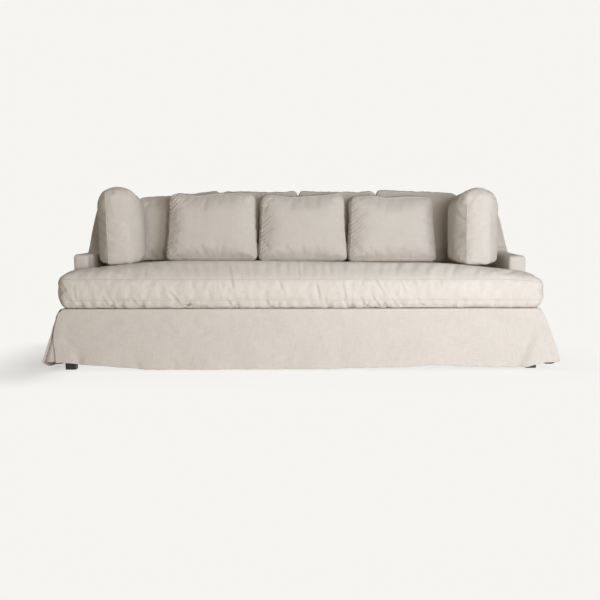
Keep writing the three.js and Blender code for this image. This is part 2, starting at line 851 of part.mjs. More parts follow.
for (const [end, ySign] of [['front', -1], ['rear', 1]]) {
  for (const [side, xSign] of [['left', -1], ['right', 1]]) {
    const pleat = kickPleat(ySign < 0 ? earOverhang : 0);
    const place = pleat.attributes.position;
    for (let i = 0; i < place.count; i += 1) {
      place.setXY(i, place.getX(i) * xSign, -place.getY(i) * ySign);
    }
    const merged = mergeVertices(new THREE.BufferGeometry().setAttribute('position', place));
    const points = Array.from(merged.attributes.position.array);
    add(`kick_pleat_${end}_${side}`, indexed(points, Array.from(merged.index.array)), 'linen');
  }
}

// Cushions

// Fullness of a crown at a share of the way from its seam to its level middle
function fullness(share) {
  return (1 - (1 - share) ** 2) * (1 - bellyShare) + Math.sqrt(1 - (1 - share) ** 2) * bellyShare;
}

// T-shaped seat cushion
function seatRing(share, round, z) {
  const lean = 1 - share;
  return benchOutline({
    half: seatHalfWidth - seatEdge.end * share - round,
    stem: armInner - seatArmGap - seatEdge.arm * share - round,
    front: seatFrontLine + seatEdge.front * share + round,
    ear: armFrontLine - seatEarGap - seatEdge.ear * share - round,
    back: insideBack(seatBottom) - seatBackGap - seatEdge.back * share - round,
    corner: seatInnerCorner + (seatCorner - seatInnerCorner) * lean,
    inner: seatInnerCorner + round,
    draw: seatDraw * lean,
    frontSteps: seatFrontSteps,
    endSteps: seatEndSteps,
  }).map(([x, y]) => new THREE.Vector3(x, y, z));
}

const seatRings = seatRoundShares.map((share) => {
  const angle = (share * Math.PI) / 2;
  return seatRing(0, seatUnder * (1 - Math.sin(angle)), seatBottom + seatSeamLow * (1 - Math.cos(angle)));
});
const seatSwell = seatThick - seatSeamHigh;
for (const share of seatRingShares) {
  seatRings.push(seatRing(share, 0, seatBottom + seatSeamHigh + seatSwell * fullness(share)));
}

// Level of the seat's crown, which falls towards the ends
function seatLevel(x) {
  const fromEnd = Math.max(0, Math.min(1, (seatHalfWidth - Math.abs(x)) / seatFallReach));
  return seatTop - (seatSwell * seatFallShare * (1 + Math.cos(Math.PI * fromEnd))) / 2;
}

const crownLine = [];
for (let i = 0; i <= crownSteps; i += 1) {
  const x = seatHalfWidth * (1 - (2 * i) / crownSteps);
  crownLine.push([x, seatLevel(x)]);
}
const underCrown = extrude(
  outline([
    [-seatHalfWidth, seatBottom - cutOverrun],
    [seatHalfWidth, seatBottom - cutOverrun],
    ...crownLine,
  ]),
  'y',
  seatFrontLine - cutOverrun,
  insideBack(seatBottom) + cutOverrun,
);
add('seat_cushion', intersect(ringSolid(seatRings), underCrown), 'linen');

// Boxed cushion in its own frame: width along x, height along y from its lower edge, front towards z.
// Its sides may lean in by taper at the top, and its top may fall to the right, or to the left with a minus.
function boxedCushion({ width, height, boxing, crown, corner = cushionCorner, taper = 0, fall = 0 }) {
  const shaped = (x, y, z) => {
    const up = y / height;
    const drop = Math.abs(fall) * (1 / 2 + (Math.sign(fall) * x) / width);
    return new THREE.Vector3(x * (1 - (2 * taper * up) / width), y - drop * up, z);
  };
  const ring = (share, z) => {
    const inset = cushionPlateau * share;
    const x = width / 2 - inset;
    const low = inset;
    const high = height - inset;
    const middleCorner = Math.min(x, (high - low) / 2) * roundingShare;
    const r = THREE.MathUtils.lerp(corner, middleCorner, share);
    const draw = cushionDraw * (1 - share);
    const points = [];
    const edge = (x0, y0, x1, y1, pull) => {
      for (let i = 0; i < cushionSideSteps; i += 1) {
        const t = i / cushionSideSteps;
        const bow = pull * (1 - (2 * t - 1) ** 2);
        const run = Math.hypot(x1 - x0, y1 - y0);
        const nx = -(y1 - y0) / run;
        const ny = (x1 - x0) / run;
        const px = x0 + (x1 - x0) * t + nx * bow;
        const py = y0 + (y1 - y0) * t + ny * bow;
        points.push(shaped(px, py, z));
      }
    };
    const turn = (cx, cy, start) => {
      for (let i = 0; i < cushionCornerSteps; i += 1) {
        const angle = start + (Math.PI / 2) * (i / cushionCornerSteps);
        points.push(shaped(cx + r * Math.cos(angle), cy + r * Math.sin(angle), z));
      }
    };
    edge(-x + r, low, x - r, low, 0);
    turn(x - r, low + r, -Math.PI / 2);
    edge(x, low + r, x, high - r, draw);
    turn(x - r, high - r, 0);
    edge(x - r, high, -x + r, high, draw);
    turn(-x + r, high - r, Math.PI / 2);
    edge(-x, high - r, -x, low + r, draw);
    turn(-x + r, low + r, Math.PI);
    return points;
  };
  const half = boxing / 2;
  const front = crownRingShares.map((share) => ring(share, half + crown * fullness(share)));
  const rear = crownRingShares.map((share) => ring(share, -half - crown * fullness(share))).reverse();
  return ringSolid([...rear, ...front]);
}

// Lean a cushion on the plane of the inside back, moved forward by distance
function leanOnBack(geometry, x, distance) {
  const up = new THREE.Vector3(0, Math.tan(backRecline), 1);
  const basis = new THREE.Matrix4().makeBasis(new THREE.Vector3(1, 0, 0), up, new THREE.Vector3(0, -1, 0));
  geometry.applyMatrix4(basis);
  geometry.translate(x, insideBack(cushionBottom) - distance, cushionBottom);
  return geometry;
}

const backCushionDepth = backCushionBoxing + 2 * backCushionCrown;
for (let i = 0; i < backCushionCount; i += 1) {
  const place = i - (backCushionCount - 1) / 2;
  const outer = Math.abs(place) > 1;
  const cushion = boxedCushion({
    width: backCushionWidth - cushionGap,
    height: backCushionHeight,
    boxing: backCushionBoxing,
    crown: backCushionCrown,
    fall: outer ? Math.sign(place) * backCushionFall : 0,
  });
  const x = place * backCushionWidth;
  add(`back_cushion_${i + 1}`, leanOnBack(cushion, x, cushionGap + backCushionDepth / 2), 'linen');
}

const pillowDepth = pillowBoxing + 2 * pillowCrown;
for (const [name, step] of [['left', -1], ['centre', 0], ['right', 1]]) {
  const pillow = boxedCushion({
    width: pillowWidth,
    height: pillowHeight,
    boxing: pillowBoxing,
    crown: pillowCrown,
    taper: pillowTaper,
  });
  const distance = 2 * cushionGap + backCushionDepth + pillowDepth / 2;
  add(`pillow_${name}`, leanOnBack(pillow, pillowShift + step * pillowPitch, distance), 'linen');
}

// Side cushions stand edge-on against the arms, just in front of the back cushions
const sideRear = insideBack(cushionBottom) - cushionGap - backCushionDepth - sideBackGap;
const toeCos = Math.cos(sideToeIn);
const toeSin = Math.sin(sideToeIn);
const sideReachX = (sideBoxing / 2 + sideCrown) * toeCos + (sideWidth / 2 - cushionPlateau) * toeSin;
const sideReachY = (sideWidth / 2) * toeCos + (sideBoxing / 2) * toeSin;
const sideSeamReach = (sideBoxing / 2) * toeCos + (sideWidth / 2) * toeSin; // to the inner front seam
for (const [side, sign] of [['left', -1], ['right', 1]]) {
  const cushion = boxedCushion({
    width: sideWidth,
    height: sideHeight,
    boxing: sideBoxing,
    crown: sideCrown,
    corner: sideCorner,
  });
  const across = new THREE.Vector3(0, -sign, 0);
  const facing = new THREE.Vector3(-sign, 0, 0);
  const lean = sideLeans[side];
  cushion.applyMatrix4(new THREE.Matrix4().makeBasis(across, new THREE.Vector3(0, 0, 1), facing));
  cushion.rotateY(sign * lean);
  cushion.rotateZ(-sign * sideToeIn);
  const fromMiddle = armInner - sideArmGaps[side] - sideReachX - (sideHeight / 2) * Math.sin(lean);
  const rest = seatLevel(fromMiddle - sideSeamReach) + gap - (sideBoxing / 2) * Math.sin(lean);
  cushion.translate(sign * fromMiddle, sideRear - sideReachY, rest);
  add(`side_cushion_${side}`, cushion, 'linen');
}

export default sofa;
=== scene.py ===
import math

import bmesh
import bpy
from mathutils import Matrix, Vector, noise


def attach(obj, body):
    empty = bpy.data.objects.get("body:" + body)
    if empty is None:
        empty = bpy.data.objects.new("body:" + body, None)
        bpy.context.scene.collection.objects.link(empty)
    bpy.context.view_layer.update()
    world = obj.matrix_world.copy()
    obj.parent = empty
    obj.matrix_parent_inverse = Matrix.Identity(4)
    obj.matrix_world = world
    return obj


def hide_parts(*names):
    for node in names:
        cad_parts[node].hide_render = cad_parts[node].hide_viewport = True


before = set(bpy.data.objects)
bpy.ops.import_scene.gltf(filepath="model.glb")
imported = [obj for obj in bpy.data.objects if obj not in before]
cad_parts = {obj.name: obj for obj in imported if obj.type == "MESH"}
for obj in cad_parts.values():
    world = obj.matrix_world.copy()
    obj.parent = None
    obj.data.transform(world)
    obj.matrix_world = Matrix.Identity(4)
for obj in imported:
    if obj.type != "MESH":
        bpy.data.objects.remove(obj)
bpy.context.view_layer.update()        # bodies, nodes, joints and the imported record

# Slipcovered camelback sofa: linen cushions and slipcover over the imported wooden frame.
# Metres, +Z up, the front faces -Y.

scene = bpy.context.scene

# Camera, level with the back cushions and a little left of the middle
cameraSetup = {"place": (-0.135, -4.62, 0.570), "turn": 1.68, "tip": 3.2, "lens": 51.24, "sensor": 36}

cameraData = bpy.data.cameras.new("camera")
cameraData.lens = cameraSetup["lens"]
cameraData.sensor_width = cameraSetup["sensor"]
camera = bpy.data.objects.new("camera", cameraData)
camera.location = cameraSetup["place"]
camera.rotation_euler = (math.radians(90 - cameraSetup["tip"]), 0, math.radians(-cameraSetup["turn"]))
scene.collection.objects.link(camera)
scene.camera = camera
scene.view_settings.view_transform = "Standard"
print("camera placed")


def addNode(tree, kind, inputs=None, **fields):
    made = tree.nodes.new(kind)
    for key, value in fields.items():
        setattr(made, key, value)
    for key, value in (inputs or {}).items():
        if isinstance(value, bpy.types.NodeSocket):
            tree.links.new(value, made.inputs[key])
        else:
            made.inputs[key].default_value = value
    return made


def mathNode(tree, operation, first, second=0.5, clamp=False):
    made = addNode(tree, "ShaderNodeMath", {0: first, 1: second}, operation=operation, use_clamp=clamp)
    return made.outputs[0]


def mixColours(tree, share, first, second, blend="MIX"):
    made = addNode(tree, "ShaderNodeMix", data_type="RGBA", blend_type=blend)
    for key, value in (("Factor", share), ("A", first), ("B", second)):
        socket = [s for s in made.inputs if s.name == key and s.type in ("VALUE", "RGBA")]
        socket = socket[0] if key == "Factor" else [s for s in socket if s.type == "RGBA"][0]
        if isinstance(value, bpy.types.NodeSocket):
            tree.links.new(value, socket)
        else:
            socket.default_value = value
    return [s for s in made.outputs if s.type == "RGBA"][0]


def tone(red, green, blue):
    # Linear colour from the usual 0-255 values
    def channel(c):
        c /= 255
        return c / 12.92 if c <= 0.04045 else ((c + 0.055) / 1.055) ** 2.4
    return (channel(red), channel(green), channel(blue), 1)


def startGroup(name, inputs, outputs):
    tree = bpy.data.node_groups.new(name, "ShaderNodeTree")
    for label, kind, value in inputs:
        socket = tree.interface.new_socket(label, in_out="INPUT", socket_type=kind)
        if value is not None:
            socket.default_value = value
    for label, kind in outputs:
        tree.interface.new_socket(label, in_out="OUTPUT", socket_type=kind)
    return tree, tree.nodes.new("NodeGroupInput").outputs, tree.nodes.new("NodeGroupOutput").inputs


def stretched(tree, vector, scale):
    return addNode(tree, "ShaderNodeMapping", {"Vector": vector, "Scale": scale}).outputs[0]


def noiseValue(tree, vector, scale, detail=2.0, roughness=0.5):
    made = addNode(tree, "ShaderNodeTexNoise", {
        "Vector": vector, "Scale": scale, "Detail": detail, "Roughness": roughness,
    })
    return made.outputs[0]


# Weave with slubs: thread relief, thicker yarns across and along, and a cloudy tone
def makeWeaveGroup():
    tree, given, result = startGroup("linenWeave", [
        ("Vector", "NodeSocketVector", None),
        ("Threads", "NodeSocketFloat", 5200.0),
        ("Slub", "NodeSocketFloat", 1.0),
        ("Light", "NodeSocketColor", (0.8, 0.8, 0.8, 1)),
        ("Dark", "NodeSocketColor", (0.6, 0.6, 0.6, 1)),
    ], [("Colour", "NodeSocketColor"), ("Height", "NodeSocketFloat")])
    vector = given["Vector"]
    parts = addNode(tree, "ShaderNodeSeparateXYZ", {0: vector})
    threads = []
    for axis in (0, 1):
        turns = mathNode(tree, "MULTIPLY", parts.outputs[axis], given["Threads"])
        threads.append(mathNode(tree, "SINE", turns))
    relief = mathNode(tree, "MULTIPLY", threads[0], threads[1])
    slubs = []
    for scale in ((18, 330, 60), (330, 18, 60), (45, 800, 90), (800, 45, 90)):
        slubs.append(noiseValue(tree, stretched(tree, vector, scale), 1.0))
    broad = mathNode(tree, "ADD", slubs[0], slubs[1])
    fine = mathNode(tree, "ADD", slubs[2], slubs[3])
    yarn = mathNode(tree, "MULTIPLY", mathNode(tree, "ADD", broad, fine), 0.25)
    cloud = noiseValue(tree, vector, 7.0, 3.0)
    spread = mathNode(tree, "MULTIPLY", mathNode(tree, "SUBTRACT", yarn, 0.5), given["Slub"])
    share = mathNode(tree, "MULTIPLY_ADD", spread, 3.2)
    share.node.inputs[2].default_value = 0.5
    cloudy = mathNode(tree, "MULTIPLY_ADD", mathNode(tree, "SUBTRACT", cloud, 0.5), 0.35)
    tree.links.new(share, cloudy.node.inputs[2])
    clamped = mathNode(tree, "ADD", cloudy, 0.0, clamp=True)
    tree.links.new(mixColours(tree, clamped, given["Light"], given["Dark"]), result["Colour"])
    height = mathNode(tree, "MULTIPLY_ADD", relief, 0.25)
    tree.links.new(mathNode(tree, "ADD", broad, fine), height.node.inputs[2])
    tree.links.new(height, result["Height"])
    return tree


# Soft rumples that washing leaves in cloth
def makeRumpleGroup():
    tree, given, result = startGroup("washedRumples", [
        ("Vector", "NodeSocketVector", None),
        ("Scale", "NodeSocketFloat", 1.0),
    ], [("Height", "NodeSocketFloat")])
    placed = addNode(tree, "ShaderNodeVectorMath", {0: given["Vector"]}, operation="SCALE")
    tree.links.new(given["Scale"], placed.inputs["Scale"])
    broad = noiseValue(tree, stretched(tree, placed.outputs[0], (1, 1, 1)), 16.0, 3.0, 0.55)
    folds = noiseValue(tree, stretched(tree, placed.outputs[0], (1.6, 0.8, 1)), 42.0, 2.0, 0.5)
    ridge = mathNode(tree, "ABSOLUTE", mathNode(tree, "SUBTRACT", folds, 0.5))
    total = mathNode(tree, "MULTIPLY_ADD", ridge, -0.8)
    tree.links.new(broad, total.node.inputs[2])
    tree.links.new(total, result["Height"])
    return tree


# Long grain with fine pores, along the group's X
def makeGrainGroup():
    tree, given, result = startGroup("woodGrain", [
        ("Vector", "NodeSocketVector", None),
        ("Light", "NodeSocketColor", (0.5, 0.4, 0.3, 1)),
        ("Dark", "NodeSocketColor", (0.3, 0.2, 0.1, 1)),
    ], [("Colour", "NodeSocketColor"), ("Height", "NodeSocketFloat")])
    bands = noiseValue(tree, stretched(tree, given["Vector"], (1.2, 22, 22)), 1.0, 4.0, 0.6)
    pores = noiseValue(tree, stretched(tree, given["Vector"], (16, 420, 420)), 1.0, 2.0, 0.7)
    share = mathNode(tree, "MULTIPLY_ADD", bands, 0.75)
    tree.links.new(mathNode(tree, "MULTIPLY", pores, 0.35), share.node.inputs[2])
    clamped = mathNode(tree, "ADD", share, 0.0, clamp=True)
    tree.links.new(mixColours(tree, clamped, given["Light"], given["Dark"]), result["Colour"])
    tree.links.new(pores, result["Height"])
    return tree


weaveGroup = makeWeaveGroup()
rumpleGroup = makeRumpleGroup()
grainGroup = makeGrainGroup()


def startMaterial(name):
    material = bpy.data.materials.new(name)
    material.use_nodes = True
    tree = material.node_tree
    return material, tree, tree.nodes["Principled BSDF"].inputs


def placeGroup(tree, group, inputs):
    made = tree.nodes.new("ShaderNodeGroup")
    made.node_tree = group
    for key, value in inputs.items():
        if isinstance(value, bpy.types.NodeSocket):
            tree.links.new(value, made.inputs[key])
        else:
            made.inputs[key].default_value = value
    return made.outputs


def bumped(tree, height, distance, strength, below=None):
    made = addNode(tree, "ShaderNodeBump", {"Height": height, "Distance": distance, "Strength": strength})
    if below is not None:
        tree.links.new(below, made.inputs["Normal"])
    return made.outputs[0]


linenFinish = {
    "light": tone(232, 224, 215),
    "dark": tone(206, 197, 187),
    "roughness": 0.93,
    "sheen": 0.12,
    "rumple": 0.0022,
    "relief": 0.00035,
}


def makeLinen(name, slub=1.0, rumpleScale=1.0, rumple=1.0, uvMapped=True, shade=1.0):
    material, tree, shader = startMaterial(name)
    place = addNode(tree, "ShaderNodeTexCoord").outputs["UV" if uvMapped else "Object"]
    # shade darkens the whole copy of the linen: the darker copies are painted shade, not a different cloth
    light, dark = ([channel * shade for channel in linenFinish[key][:3]] + [1] for key in ("light", "dark"))
    cloth = placeGroup(tree, weaveGroup, {"Vector": place, "Slub": slub, "Light": light, "Dark": dark})
    folds = placeGroup(tree, rumpleGroup, {"Vector": place, "Scale": rumpleScale})
    soft = bumped(tree, folds["Height"], linenFinish["rumple"] * rumple, 1.0)
    woven = bumped(tree, cloth["Height"], linenFinish["relief"], 0.6, soft)
    tree.links.new(cloth["Colour"], shader["Base Color"])
    tree.links.new(woven, shader["Normal"])
    shader["Roughness"].default_value = linenFinish["roughness"]
    shader["Specular IOR Level"].default_value = 0.2
    shader["Sheen Weight"].default_value = linenFinish["sheen"]
    shader["Sheen Roughness"].default_value = 0.6
    return material


def makeWood(name, light, dark, roughness, turn, coat=0.0):
    material, tree, shader = startMaterial(name)
    place = addNode(tree, "ShaderNodeTexCoord").outputs["Object"]
    turned = addNode(tree, "ShaderNodeMapping", {"Vector": place, "Rotation": turn}).outputs[0]
    grain = placeGroup(tree, grainGroup, {"Vector": turned, "Light": light, "Dark": dark})
    tree.links.new(grain["Colour"], shader["Base Color"])
    tree.links.new(bumped(tree, grain["Height"], 0.0004, 0.5), shader["Normal"])
    shader["Roughness"].default_value = roughness
    shader["Coat Weight"].default_value = coat
    return material


def makeFibre(name, light, dark, scale, roughness, relief):
    material, tree, shader = startMaterial(name)
    place = addNode(tree, "ShaderNodeTexCoord").outputs["Object"]
    cloth = placeGroup(tree, weaveGroup, {
        "Vector": place, "Threads": scale, "Slub": 1.6, "Light": light, "Dark": dark,
    })
    tree.links.new(cloth["Colour"], shader["Base Color"])
    tree.links.new(bumped(tree, cloth["Height"], relief, 0.8), shader["Normal"])
    shader["Roughness"].default_value = roughness
    shader["Sheen Weight"].default_value = 0.2
    return material


quarterTurn = math.pi / 2
cushionLinen = makeLinen("cushionLinen", slub=0.5)
# A copy of the cushion linen darkened to 0.94 for the back, loose and side cushions: painted shade for the weaker
# light on them
shadedBoxCushionLinen = makeLinen("shadedBoxCushionLinen", slub=0.5, shade=0.94)
# The slipcover (arms, back, deck, skirt, pleats) is the same linen darkened to 0.93: painted shade
shadedSlipcoverLinen = makeLinen("shadedSlipcoverLinen", slub=0.8, rumpleScale=0.8, rumple=1.0, shade=0.93)
seamLinen = makeLinen("seamLinen", slub=0.6, rumple=0.0, uvMapped=False)
# The seat's seam welts use a copy darkened to 0.80: painted shade along the stitched seams
shadedStitchedLinen = makeLinen("shadedStitchedLinen", slub=0.6, rumple=0.0, uvMapped=False, shade=0.80)
hardwoodLong = makeWood("hardwoodLong", tone(205, 166, 118), tone(160, 116, 74), 0.6, (0, 0, 0))
hardwoodDeep = makeWood("hardwoodDeep", tone(205, 166, 118), tone(160, 116, 74), 0.6, (0, 0, quarterTurn))
hardwoodTall = makeWood("hardwoodTall", tone(205, 166, 118), tone(160, 116, 74), 0.6, (0, quarterTurn, 0))
plywoodFace = makeWood("plywoodFace", tone(222, 190, 146), tone(190, 152, 106), 0.65, (0, 0, quarterTurn))
plywoodTall = makeWood("plywoodTall", tone(222, 190, 146), tone(190, 152, 106), 0.65, (0, quarterTurn, 0))
footStain = makeWood("footStain", tone(26, 22, 18), tone(14, 12, 10), 0.5, (0, quarterTurn, 0), 0.1)
cottonFelt = makeFibre("cottonFelt", tone(240, 235, 224), tone(214, 208, 196), 900.0, 0.97, 0.002)
blackCambric = makeFibre("blackCambric", tone(44, 42, 40), tone(24, 23, 22), 3600.0, 0.95, 0.0003)
juteWeave = makeFibre("juteWeave", tone(188, 158, 112), tone(132, 104, 66), 2400.0, 0.9, 0.0006)
print("materials made")


# Wood and feet keep their CAD solids and get these finishes
woodFinishes = {
    hardwoodLong: ["front_rail", "rear_rail", "camel_top_rail", "lower_back_rail"],
    hardwoodDeep: [
        "side_rail_left", "side_rail_right", "seat_stretcher_left", "seat_stretcher_right",
        "corner_block_front_left", "corner_block_front_right",
        "corner_block_rear_left", "corner_block_rear_right",
    ],
    hardwoodTall: ["arm_post_left", "arm_post_right"],
    plywoodFace: ["arm_panel_left", "arm_panel_right"],
    plywoodTall: ["back_post_left", "back_post_centre", "back_post_right"],
    footStain: ["foot_%s_%s" % (end, side) for end in ("front", "rear") for side in ("left", "centre", "right")],
}
for material, names in woodFinishes.items():
    for name in names:
        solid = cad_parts[name]
        solid.data.materials.clear()
        solid.data.materials.append(material)
print("frame finished")


def linkPiece(name, mesh, material, body, replaced=()):
    piece = bpy.data.objects.new(name, mesh)
    scene.collection.objects.link(piece)
    mesh.materials.append(material)
    for polygon in mesh.polygons:
        polygon.use_smooth = True
    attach(piece, body)
    if replaced:
        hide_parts(*replaced)
    return piece


def meshFrom(bm, name):
    bmesh.ops.recalc_face_normals(bm, faces=bm.faces)
    mesh = bpy.data.meshes.new(name)
    bm.to_mesh(mesh)
    bm.free()
    return mesh


def addSubdivision(piece, levels=1):
    modifier = piece.modifiers.new("subdivision", "SUBSURF")
    modifier.levels = levels
    modifier.render_levels = levels


def addThickness(piece, thickness):
    modifier = piece.modifiers.new("thickness", "SOLIDIFY")
    modifier.thickness = thickness
    modifier.offset = -1


def cutAlong(bm, axis, cuts):
    along = [e for e in bm.edges if abs(e.verts[0].co[axis] - e.verts[1].co[axis]) > 1e-5]
    if cuts > 0:
        bmesh.ops.subdivide_edges(bm, edges=along, cuts=cuts, use_grid_fill=True)


# Weave coordinates in metres, taken from the flat shape before the piece is filled out
def layWeave(bm, sizes, shift):
    bm.normal_update()
    layer = bm.loops.layers.uv.new("weave")
    for face in bm.faces:
        facing = max(range(3), key=lambda axis: abs(face.normal[axis]))
        across, up = {0: (1, 2), 1: (0, 2), 2: (0, 1)}[facing]
        for loop in face.loops:
            place = loop.vert.co
            loop[layer].uv = (place[across] * sizes[across] + shift, place[up] * sizes[up] + shift * 0.6)


def ringOrder(bm, chosen):
    bm.verts.ensure_lookup_table()
    remaining = set(chosen)
    current = bm.verts[min(remaining)]
    ordered = [current.index]
    remaining.discard(current.index)
    while remaining:
        near = [e.other_vert(current) for e in current.link_edges]
        near = [v for v in near if v.index in remaining]
        if not near:
            break
        current = near[0]
        ordered.append(current.index)
        remaining.discard(current.index)
    return ordered


# A welt along a closed ring of points
def addWelt(name, points, radius, body, material=seamLinen):
    curve = bpy.data.curves.new(name, "CURVE")
    curve.dimensions = "3D"
    curve.bevel_depth = radius
    curve.bevel_resolution = 1
    spline = curve.splines.new("POLY")
    spline.points.add(len(points) - 1)
    for point, place in zip(spline.points, points):
        point.co = (*place, 1)
    spline.use_cyclic_u = True
    carrier = bpy.data.objects.new(name + "_line", curve)
    scene.collection.objects.link(carrier)
    mesh = bpy.data.meshes.new_from_object(carrier)
    bpy.data.objects.remove(carrier)
    return linkPiece(name, mesh, material, body)


def clampShare(value):
    return max(0.0, min(1.0, value))


def fullness(share, belly=0.3):
    left = 1 - (1 - share) ** 2
    return left * (1 - belly) + math.sqrt(left) * belly


def smoothLeast(values, power=3.5):
    if min(values) <= 0:
        return 0.0
    return sum(v ** -power for v in values) ** (-1 / power)


def roundCorner(dx, dz):
    longest = math.hypot(dx, dz)
    return max(dx, dz) / longest if longest > 0 else 1.0


# Puckers that run away from a seam: s along it, d from it
def pucker(s, d, period, reach, seed):
    drift = noise.noise(Vector((s * 9, seed, 3.1))) * 2.4
    strength = 0.40 + 0.9 * clampShare(0.3 + 1.6 * noise.noise(Vector((s * 8, seed * 1.7, 8.3))))
    ridge = abs(math.sin(math.pi * s / period + 0.5 * (drift + seed)))
    return 1.5 * (ridge - 0.64) * strength * math.exp(-d / reach)


# A crease from one point to another in the plane (a, b): 1 on its line, 0 away from it
def creaseAt(a, b, crease):
    a0, b0, a1, b1, width = crease
    runA, runB = a1 - a0, b1 - b0
    run = runA * runA + runB * runB
    t = clampShare(((a - a0) * runA + (b - b0) * runB) / run)
    away = math.hypot(a - a0 - runA * t, b - b0 - runB * t)
    return math.exp(-((away / width) ** 2)) * math.sin(math.pi * min(1, 0.12 + t * 0.88)) ** 0.5


# Boxed cushions: two crowned panels joined by a strip, with a welt on each seam

cushionCommon = {
    "cell": 0.0110, "draw": 0.007, "weltRadius": 0.0020,
    "startFull": 0.88,    # how much of the crown stands before the filling swells it
    "swellMost": 0.014,
}

cushions = []


# The tailoring of a cushion's outline: sides that lean in, and a top that falls to one side and waves
def tailored(x, z, spec, seed):
    up = clampShare(z / spec["height"])
    towards = math.copysign(x / spec["width"], x * spec["fall"])
    drop = abs(spec["fall"]) * clampShare(0.5 + towards) ** spec["fallPower"]
    wave = spec["topWave"] * (0.5 + noise.noise(Vector((x * 9, seed, 4.4))))
    return x * (1 - 2 * spec["taper"] * up / spec["width"]), z - (drop + wave) * up * up


def boxCushion(name, spec, place, seed):
    width, boxing, height = spec["width"], spec["boxing"], spec["height"]
    side, top, foot = spec["seamInset"]
    sizes = (width - 2 * side, boxing, height - top - foot)
    bm = bmesh.new()
    bmesh.ops.create_cube(bm, size=1)
    for axis, size in enumerate(sizes):
        cutAlong(bm, axis, round(size / cushionCommon["cell"]) - 1)
    layWeave(bm, sizes, seed * 0.37)
    bm.verts.index_update()
    onEdge = {v.index for v in bm.verts if max(abs(v.co.x), abs(v.co.z)) > 0.4999}
    front = {v.index for v in bm.verts if v.co.y < -0.4999} & onEdge
    rear = {v.index for v in bm.verts if v.co.y > 0.4999} & onEdge
    rings = [ringOrder(bm, front), ringOrder(bm, rear)]
    halfWidth, halfHeight = sizes[0] / 2, sizes[2] / 2
    draw = cushionCommon["draw"]
    topCorner, footCorner = spec["corner"]
    sideReach, topReach, footReach = spec["plateau"]
    for v in bm.verts:
        x, y, z = v.co.x * sizes[0], v.co.y * sizes[1], v.co.z * sizes[2]
        panel = abs(v.co.y) > 0.4999
        fromSide, fromEnd = halfWidth - abs(x), halfHeight - abs(z)
        endReach = topReach + (footReach - topReach) * clampShare(0.5 - v.co.z * 2)
        share = clampShare(smoothLeast([min(1.4, fromSide / sideReach), min(1.4, fromEnd / endReach)]))
        share = share if panel else 0.0
        outX = math.copysign(1.0 if fromSide < 1e-6 else 0.0, x)
        outZ = math.copysign(1.0 if fromEnd < 1e-6 else 0.0, z)
        corner = topCorner if z > 0 else footCorner
        dx, dz = abs(x) - (halfWidth - corner), abs(z) - (halfHeight - corner)
        if dx > 0 and dz > 0:
            k = roundCorner(dx, dz)
            x = math.copysign(halfWidth - corner + dx * k, x)
            z = math.copysign(halfHeight - corner + dz * k, z)
            far = math.hypot(dx, dz)
            outX, outZ = math.copysign(dx / far, x), math.copysign(dz / far, z)
        if not panel:
            # the strip bulges past its seams
            bulge = 1 - (2 * v.co.y) ** 2
            x += outX * side * bulge
            z += outZ * (top * bulge if z > 0 else foot * (1 - (2 * v.co.y) ** 6))
        x -= 2 * spec["skew"] * v.co.y
        near = 1 - share
        nearSide = near * math.exp(-fromSide / 0.06)
        nearTop = near * math.exp(-fromEnd / 0.06)
        x -= math.copysign(draw * (1 - (z / halfHeight) ** 2) * nearSide, x)
        if z > 0:
            z -= draw * max(0.0, 1 - (x / halfWidth) ** 2) * nearTop
        if panel:
            y += math.copysign(spec["crown"] * cushionCommon["startFull"] * fullness(share), y)
        x, z = tailored(x, z + halfHeight + foot, spec, seed)
        v.co = (x, y, z)
    # the box cushions take the darkened linen copy: painted shade
    piece = linkPiece(name + "_cover", meshFrom(bm, name), shadedBoxCushionLinen, name, (name,))
    cushions.append({
        "piece": piece, "spec": spec, "place": place, "seed": seed, "rings": rings,
        "pinned": sorted(front | rear), "name": name,
        "most": cushionCommon["swellMost"],
    })
    return piece


def leaned(x, y, z):
    # On the reclined inside back, from the level that the loose cushions rest on
    lean = math.tan(math.radians(10))
    base = 0.5250
    return Matrix(((1, 0, 0, x), (0, 1, lean, y), (0, 0, 1, base + z), (0, 0, 0, 1)))


# Gathers per edge: depth, period, reach, and how far they slant up or across as they run from the seam
backCushionSpec = {
    "width": 0.4444, "height": 0.392, "boxing": 0.080, "crown": 0.035, "fill": 0.7, "line": 0.2542,
    "corner": (0.028, 0.020), "plateau": (0.110, 0.110, 0.090), "seamInset": (0.002, 0.006, 0.004),
    "skew": 0.0, "taper": 0.0,
    "fall": 0.0, "fallPower": 1.0, "topWave": 0.005, "gathers": {
        "left": (0.0012, 0.034, 0.045, 0.3), "right": (0.0012, 0.034, 0.045, -0.3),
        "top": (0.0024, 0.030, 0.040, 0.2), "bottom": (0.0012, 0.034, 0.045, 0.0),
    },
}
# The outer ones run on behind the side cushions
backTailoring = (
    {"fall": -0.044, "wider": 0.026, "shift": -0.013, "settle": 0.0, "height": 0.398, "topWave": 0.002},
    {"settle": 0.0, "height": 0.396},
    {"settle": 0.002, "height": 0.400},
    {"fall": 0.022, "fallPower": 3.0, "wider": 0.026, "shift": 0.013, "settle": 0.006, "height": 0.410, "topWave": 0.003},
)
for i, own in enumerate(backTailoring):
    spec = {**backCushionSpec, **own}
    spec["width"] += own.get("wider", 0)
    place = leaned((i - 1.5) * 0.445 + own.get("shift", 0), spec["line"], -own["settle"])
    boxCushion("back_cushion_%d" % (i + 1), spec, place, 11 + i)

